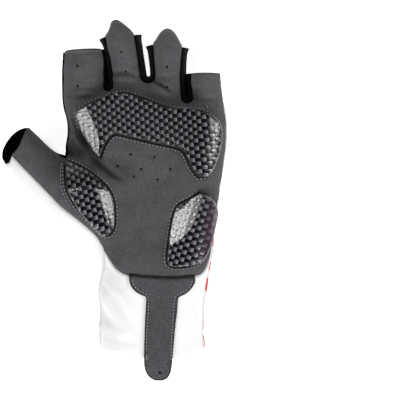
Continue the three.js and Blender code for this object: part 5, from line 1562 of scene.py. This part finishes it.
def strapRise(x, y):
    # Top of the strap over the cuff: rounded at the edges, a sewn channel inside them, a slight crown;
    # painted shade on the edges, in the channels and under the palm's edge, and lighter edges on the free end
    left, right = strapSides(y)
    toEdge = np.minimum(x - left, right - x)
    toEdge = np.maximum(np.where(y > strap["square"], toEdge, -padDistance(strapOutline, x, y)), 0)
    toTop = np.maximum(palmEdgeAt(x) + strap["tuck"] - y, 0)
    rounded = np.sqrt(1 - (1 - np.clip(toEdge / strap["edge"], 0, 1)) ** 2)
    hole = np.hypot(x - strap["hole"][0], y - strap["hole"][1])
    crown = strap["crown"] * ramp(toEdge, *strap["crownFrom"])
    crown = crown + strap["ripple"] * ripple(x, y, strap["rippleSize"], 8)
    top = strap["rim"] + (strap["wall"] - strap["rim"]) * rounded - softLine(toEdge, *strap["channel"])
    top = top + crown * ramp(toEdge, *strap["rippleFrom"])
    top = top - softLine(hole, *strap["holeDip"]) - softLine(toTop, *strap["tuckDip"])
    lightened = softLine(toEdge, *strap["lightened"]) * ramp(y, *strap["lightenedFrom"])
    dark = softLine(toEdge, *strap["edgeDark"]) + softLine(toEdge, *strap["channelDark"])
    dark = dark + softLine(toTop, *strap["tuckDark"])
    return top, np.clip(dark, 0, 1), hole, lightened


def palmEdgeAt(x):
    # y of the palm's lower edge at each x, less the small gap of the seam
    first, last = strap["under"]
    rows = lower["rows"][(lower["rows"][:, 0] > first) & (lower["rows"][:, 0] < last)]
    return np.interp(x, rows[:, 0], rows[:, 1]) - 2 * half


def makeStrap():
    # A grid from the palm's edge to the free end, laid on the cuff
    rows, columns = strap["grid"]
    upperEnd = strap["rows"][0][0]
    y = np.interp(np.linspace(0, 1, rows), shareAlong(strapLine), strapLine[:, 0])
    left, right = strapSides(y)
    x = (left[:, None] + gathered(columns, strap["gather"]) * (right - left)[:, None]).ravel()
    y = np.repeat(y, columns)
    nearTop = smoothStep(1 - (upperEnd - y) / strap["top"])
    y = y + (palmEdgeAt(x) + strap["tuck"] - upperEnd) * nearTop
    base, out = strapBase(x, y)
    top, dark, hole, lightened = strapRise(x, y)
    over = base + out * (strap["gap"] + top)[:, None]
    under = base + out * strap["gap"]
    piece = slabMesh("strapSuede", over, under, rows, columns, strapSuede, np.stack([x, y], axis=1),
                     {"shade": dark, "hole": hole, "lightened": lightened})
    riding(piece, "pull_strap")


makeStrap()

# Stitches: short bowed threads whose ends dive into the cloth
stitch = {
    "radius": 0.27, "length": 1.55, "pitch": 2.25, "bow": 0.28, "reach": 0.4,  # mm
    "dive": 1.9, "tip": 0.02,  # bows between a stitch's middle and its ends; how thin it gets there
    "rings": 7, "sides": 7, "clearance": 0.02,  # mm between a thread and the table
}


def makeStitches(name, centres, outs, ways, material, length=None):
    # A tube along each stitch: rings round a bowed line, shrinking to nothing at both ends
    length = np.full(len(centres), stitch["length"]) if length is None else length
    along = np.linspace(-1, 1, stitch["rings"])
    turn = np.linspace(0, 2 * np.pi, stitch["sides"], endpoint=False)
    size = stitch["radius"] * np.sqrt(np.clip(1 - np.abs(along) ** 3, stitch["tip"], 1))
    side = np.cross(outs, ways)
    side /= np.linalg.norm(side, axis=1)[:, None]
    spine = (centres[:, None] + ways[:, None] * (along[None, :, None] * length[:, None, None] / 2)
             + outs[:, None] * (stitch["bow"] * (1 - stitch["dive"] * along ** 2))[None, :, None])
    ring = (spine[:, :, None]
            + side[:, None, None] * (size[:, None] * np.cos(turn))[None, :, :, None]
            + outs[:, None, None] * (size[:, None] * np.sin(turn))[None, :, :, None])
    count, rings, sides = len(centres), stitch["rings"], stitch["sides"]
    index = np.arange(count * rings * sides).reshape(count, rings, sides)
    nextSide = np.roll(index, -1, axis=2)
    quads = np.stack([index[:, :-1], nextSide[:, :-1], nextSide[:, 1:], index[:, 1:]], axis=-1).reshape(-1, 4)
    tips = (count * rings * sides + np.arange(count * 2)).reshape(count, 2)
    head, tail = (np.repeat(tips[:, k:k + 1], sides, axis=1) for k in (0, 1))
    start = np.stack([nextSide[:, 0], index[:, 0], head, head], axis=-1).reshape(-1, 4)
    finish = np.stack([index[:, -1], nextSide[:, -1], tail, tail], axis=-1).reshape(-1, 4)
    points = np.vstack([ring.reshape(-1, 3), spine[:, [0, -1]].reshape(-1, 3)])
    piece = makeMesh(name, points, np.vstack([quads, start, finish]), [material])
    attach(piece, "root")
    return piece


def onPalm(x, y):
    # Points on the palm's finished surface, with the way out of it
    points, out, _ = sheetPoints(x, y, np.zeros(len(x)), True)
    return points + out * palmDetail(x, y)[0][:, None], out


def stitchesAlong(path, surface, pitch=None):
    # A stitch every pitch along a plan line: its centre, way out and way along
    pitch = stitch["pitch"] if pitch is None else pitch
    curve = makeLine(path)
    distances = np.arange(pitch / 2, curve["length"] - pitch / 4, pitch)
    before, after = onLine(curve, distances - stitch["reach"]), onLine(curve, distances + stitch["reach"])
    centre = (before + after) / 2
    start, _ = surface(before[:, 0], before[:, 1])
    end, _ = surface(after[:, 0], after[:, 1])
    middle, out = surface(centre[:, 0], centre[:, 1])
    way = end - start
    way /= np.linalg.norm(way, axis=1)[:, None]
    return middle, out, way


def roundPad(name, distance):
    # A pad's outline moved away from the pad, whose side is found by trying a point a millimetre inward
    outline = outlines[name]
    probe = onLine(outline, np.array([outline["length"] * palmStitching["probe"]]), 1.0)
    away = -1 if insideOf(outline, probe[:, 0], probe[:, 1])[0] else 1
    return onLine(outline, outline["distance"], away * distance)[:, :2]


palmStitching = {
    "padOffset": 1.5, "sample": 4,  # mm from the pads; every so many points of the outline are kept
    "probe": 0.2,  # share of the outline at which its side is tried
    "extra": [  # further rows on the palm, in plan
        [(-31.3, 22.5), (-31.6, 13), (-30.4, 5.5), (-27.4, -1.6)],
        [(38.4, 55.5), (46, 55.2), (54.6, 54.8)],
        [(55.7, 54.6), (56.3, 58)],
    ],
}


def makePalmStitching():
    # A row round every pad and the further rows, as one piece
    parts = []
    for name, pad in pads.items():
        rows = roundPad(name, palmStitching["padOffset"])
        kept = rows[int(pad.get("unstitched", 0) * len(rows))::palmStitching["sample"]]
        parts.append(stitchesAlong(kept, onPalm))
    for points in palmStitching["extra"]:
        parts.append(stitchesAlong(smoothRows(points), onPalm))
    centre, out, way = (np.vstack(part) for part in zip(*parts))
    piece = makeStitches("palm_stitching", centre, out, way, greyThread)
    print("palm stitches:", len(centre))


def onStrap(x, y):
    # Points on the strap's finished surface, with the way out of it
    points, out = strapBase(x, y)
    return points + out * (strap["gap"] + strapRise(x, y)[0])[:, None], out


strapStitching = {
    "left": [(11.2, -47.4), (12, -50.4), (14, -53), (17, -55), (19.8, -56.6), (20.9, -60), (20.6, -68),
             (19.9, -80), (19.5, -91)],
    "right": [(46.4, -47.6), (45.4, -51), (43, -53.6), (40, -55.4), (37.2, -57.4), (36.2, -62), (35.6, -70),
              (34.6, -84), (34.1, -96.5)],
    "pitch": 1.95, "length": 1.5,
    "end": {"at": (19.7, -92.6), "towards": (19.8, -93.6), "on": 1.2, "length": 4.6},
}


def makeStrapStitching():
    # A row along each side, and the long stitch that ends the left one
    parts = [stitchesAlong(smoothRows(strapStitching[side]), onStrap, strapStitching["pitch"])
             for side in ("left", "right")]
    end = strapStitching["end"]
    points, out = onStrap(*np.array([end["at"], end["towards"]]).T)
    way = points[1:] - points[:1]
    parts.append((points[:1] + way * end["on"], out[:1], way / np.linalg.norm(way)))
    centre, out, way = (np.vstack(part) for part in zip(*parts))
    length = np.full(len(centre), strapStitching["length"])
    length[-1] = end["length"]
    piece = makeStitches("strap_stitching", centre, out, way, greyThread, length)
    print("strap stitches:", len(centre))


def onSheet(x, y):
    # Points on the back's own surface, no lower than what keeps a thread off the table
    points, out, _ = sheetPoints(x, y, np.zeros(len(x)), False)
    points[:, 2] = np.maximum(points[:, 2], stitch["radius"] + stitch["bow"] + stitch["clearance"])
    return points, out


def makeBackStitching():
    # Zigzag over the cuff's hem, one thread to a leg, and two rows beside the seam of the carbon-look strip
    zigzag = back["zigzag"]
    stops = np.vstack([zigzag["ends"][0], form["hem"][1:3], zigzag["ends"][1]])
    hem = makeLine(smoothRows(stops), -1)
    distances = np.arange(0, hem["length"], zigzag["step"])
    side = np.where(np.arange(len(distances)) % 2 == 0, -0.5, 0.5) * zigzag["height"]
    turns = onLine(hem, distances)
    points, out = onSheet(turns[:, 0], turns[:, 1] + zigzag["above"] + side)
    legs = points[1:] - points[:-1]
    length = np.linalg.norm(legs, axis=1)
    parts = [((points[1:] + points[:-1]) / 2, out[1:], legs / length[:, None], length * zigzag["leg"])]
    rows = back["webRows"]
    seam = spread(web["mouth"] + rows["ends"][0], web["tip"] - rows["ends"][1], rows["steps"])
    for aside in rows["aside"]:
        path = reachOf(seam, aside)[:, :2]
        centre, out, way = stitchesAlong(path, onSheet)
        parts.append((centre, out, way, np.full(len(centre), stitch["length"])))
    centre, out, way, length = (np.concatenate(part) for part in zip(*parts))
    piece = makeStitches("back_stitching", centre, out, way, whiteThread, length)
    print("back stitches:", len(centre))


makePalmStitching()
makeStrapStitching()
makeBackStitching()

# Floor, light and picture
studio = {
    "floor": "#f6f6f6", "floorGlow": 0.68, "floorHalf": 2.5,  # m
    "glow": (0.2, 0.01), "heights": (0.3, 0.6),  # of the walls and the ceiling; as the sine of their height
    "lamps": [  # way to the lamp in plan and its height, both in degrees, its width and height in m, watts
        (184, 39, 0.24, 0.28, 2.05),
        (16, 34, 0.24, 0.24, 1.9),
        (142, 60, 0.25, 0.22, 2.7),
        (30, 46, 0.2, 0.2, 0.7),
        (272, 36, 0.5, 0.3, 7.0),
        (312, 26, 0.9, 0.4, 5.2),
        (222, 36, 0.6, 0.3, 1.4),
    ],
    "away": 1.0, "aim": (0, 0, 0.02),  # m
}


def makeStudio():
    # Pale glowing floor, a white room that is darker overhead, and softboxes all round
    size = studio["floorHalf"]
    corners = [(-size, -size, 0), (size, -size, 0), (size, size, 0), (-size, size, 0)]
    mesh = bpy.data.meshes.new("floor")
    mesh.from_pydata(corners, [], [(0, 1, 2, 3)])
    floor = placeObject("floor", mesh)
    material, tree = startMaterial("paleFloor")
    finishMaterial(tree, {
        "Roughness": 0.9, "Specular IOR Level": 0.1, "Base Color": fromHex(studio["floor"]),
        "Emission Color": (1, 1, 1, 1), "Emission Strength": studio["floorGlow"],
    })
    mesh.materials.append(material)
    world = bpy.data.worlds.new("studioWorld")
    world.use_nodes = True
    tree = world.node_tree
    tree.nodes.clear()
    way = addNode(tree, "TexCoord", give="Generated")
    up = addNode(tree, "SeparateXYZ", {0: way}, give="Z")
    strength = addNode(tree, "MapRange", {
        "Value": up, "From": studio["heights"], "To": studio["glow"]}, interpolation_type="SMOOTHSTEP")
    light = addNode(tree, "Background", {"Color": (1, 1, 1, 1), "Strength": strength})
    addNode(tree, "OutputWorld", {"Surface": light})
    bpy.context.scene.world = world
    for number, (azimuth, elevation, width, height, power) in enumerate(studio["lamps"]):
        data = bpy.data.lights.new(f"softbox{number}", "AREA")
        data.shape = "RECTANGLE"
        data.size, data.size_y = width, height
        data.energy = power
        lamp = placeObject(f"softbox{number}", data)
        a, e = np.radians(azimuth), np.radians(elevation)
        way = Vector((np.cos(e) * np.cos(a), np.cos(e) * np.sin(a), np.sin(e)))
        lamp.location = Vector(studio["aim"]) + way * studio["away"]
        lamp.rotation_euler = (-way).to_track_quat("-Z", "Y").to_euler()
    bpy.context.scene.view_settings.view_transform = "Standard"
    print("studio made")


makeStudio()
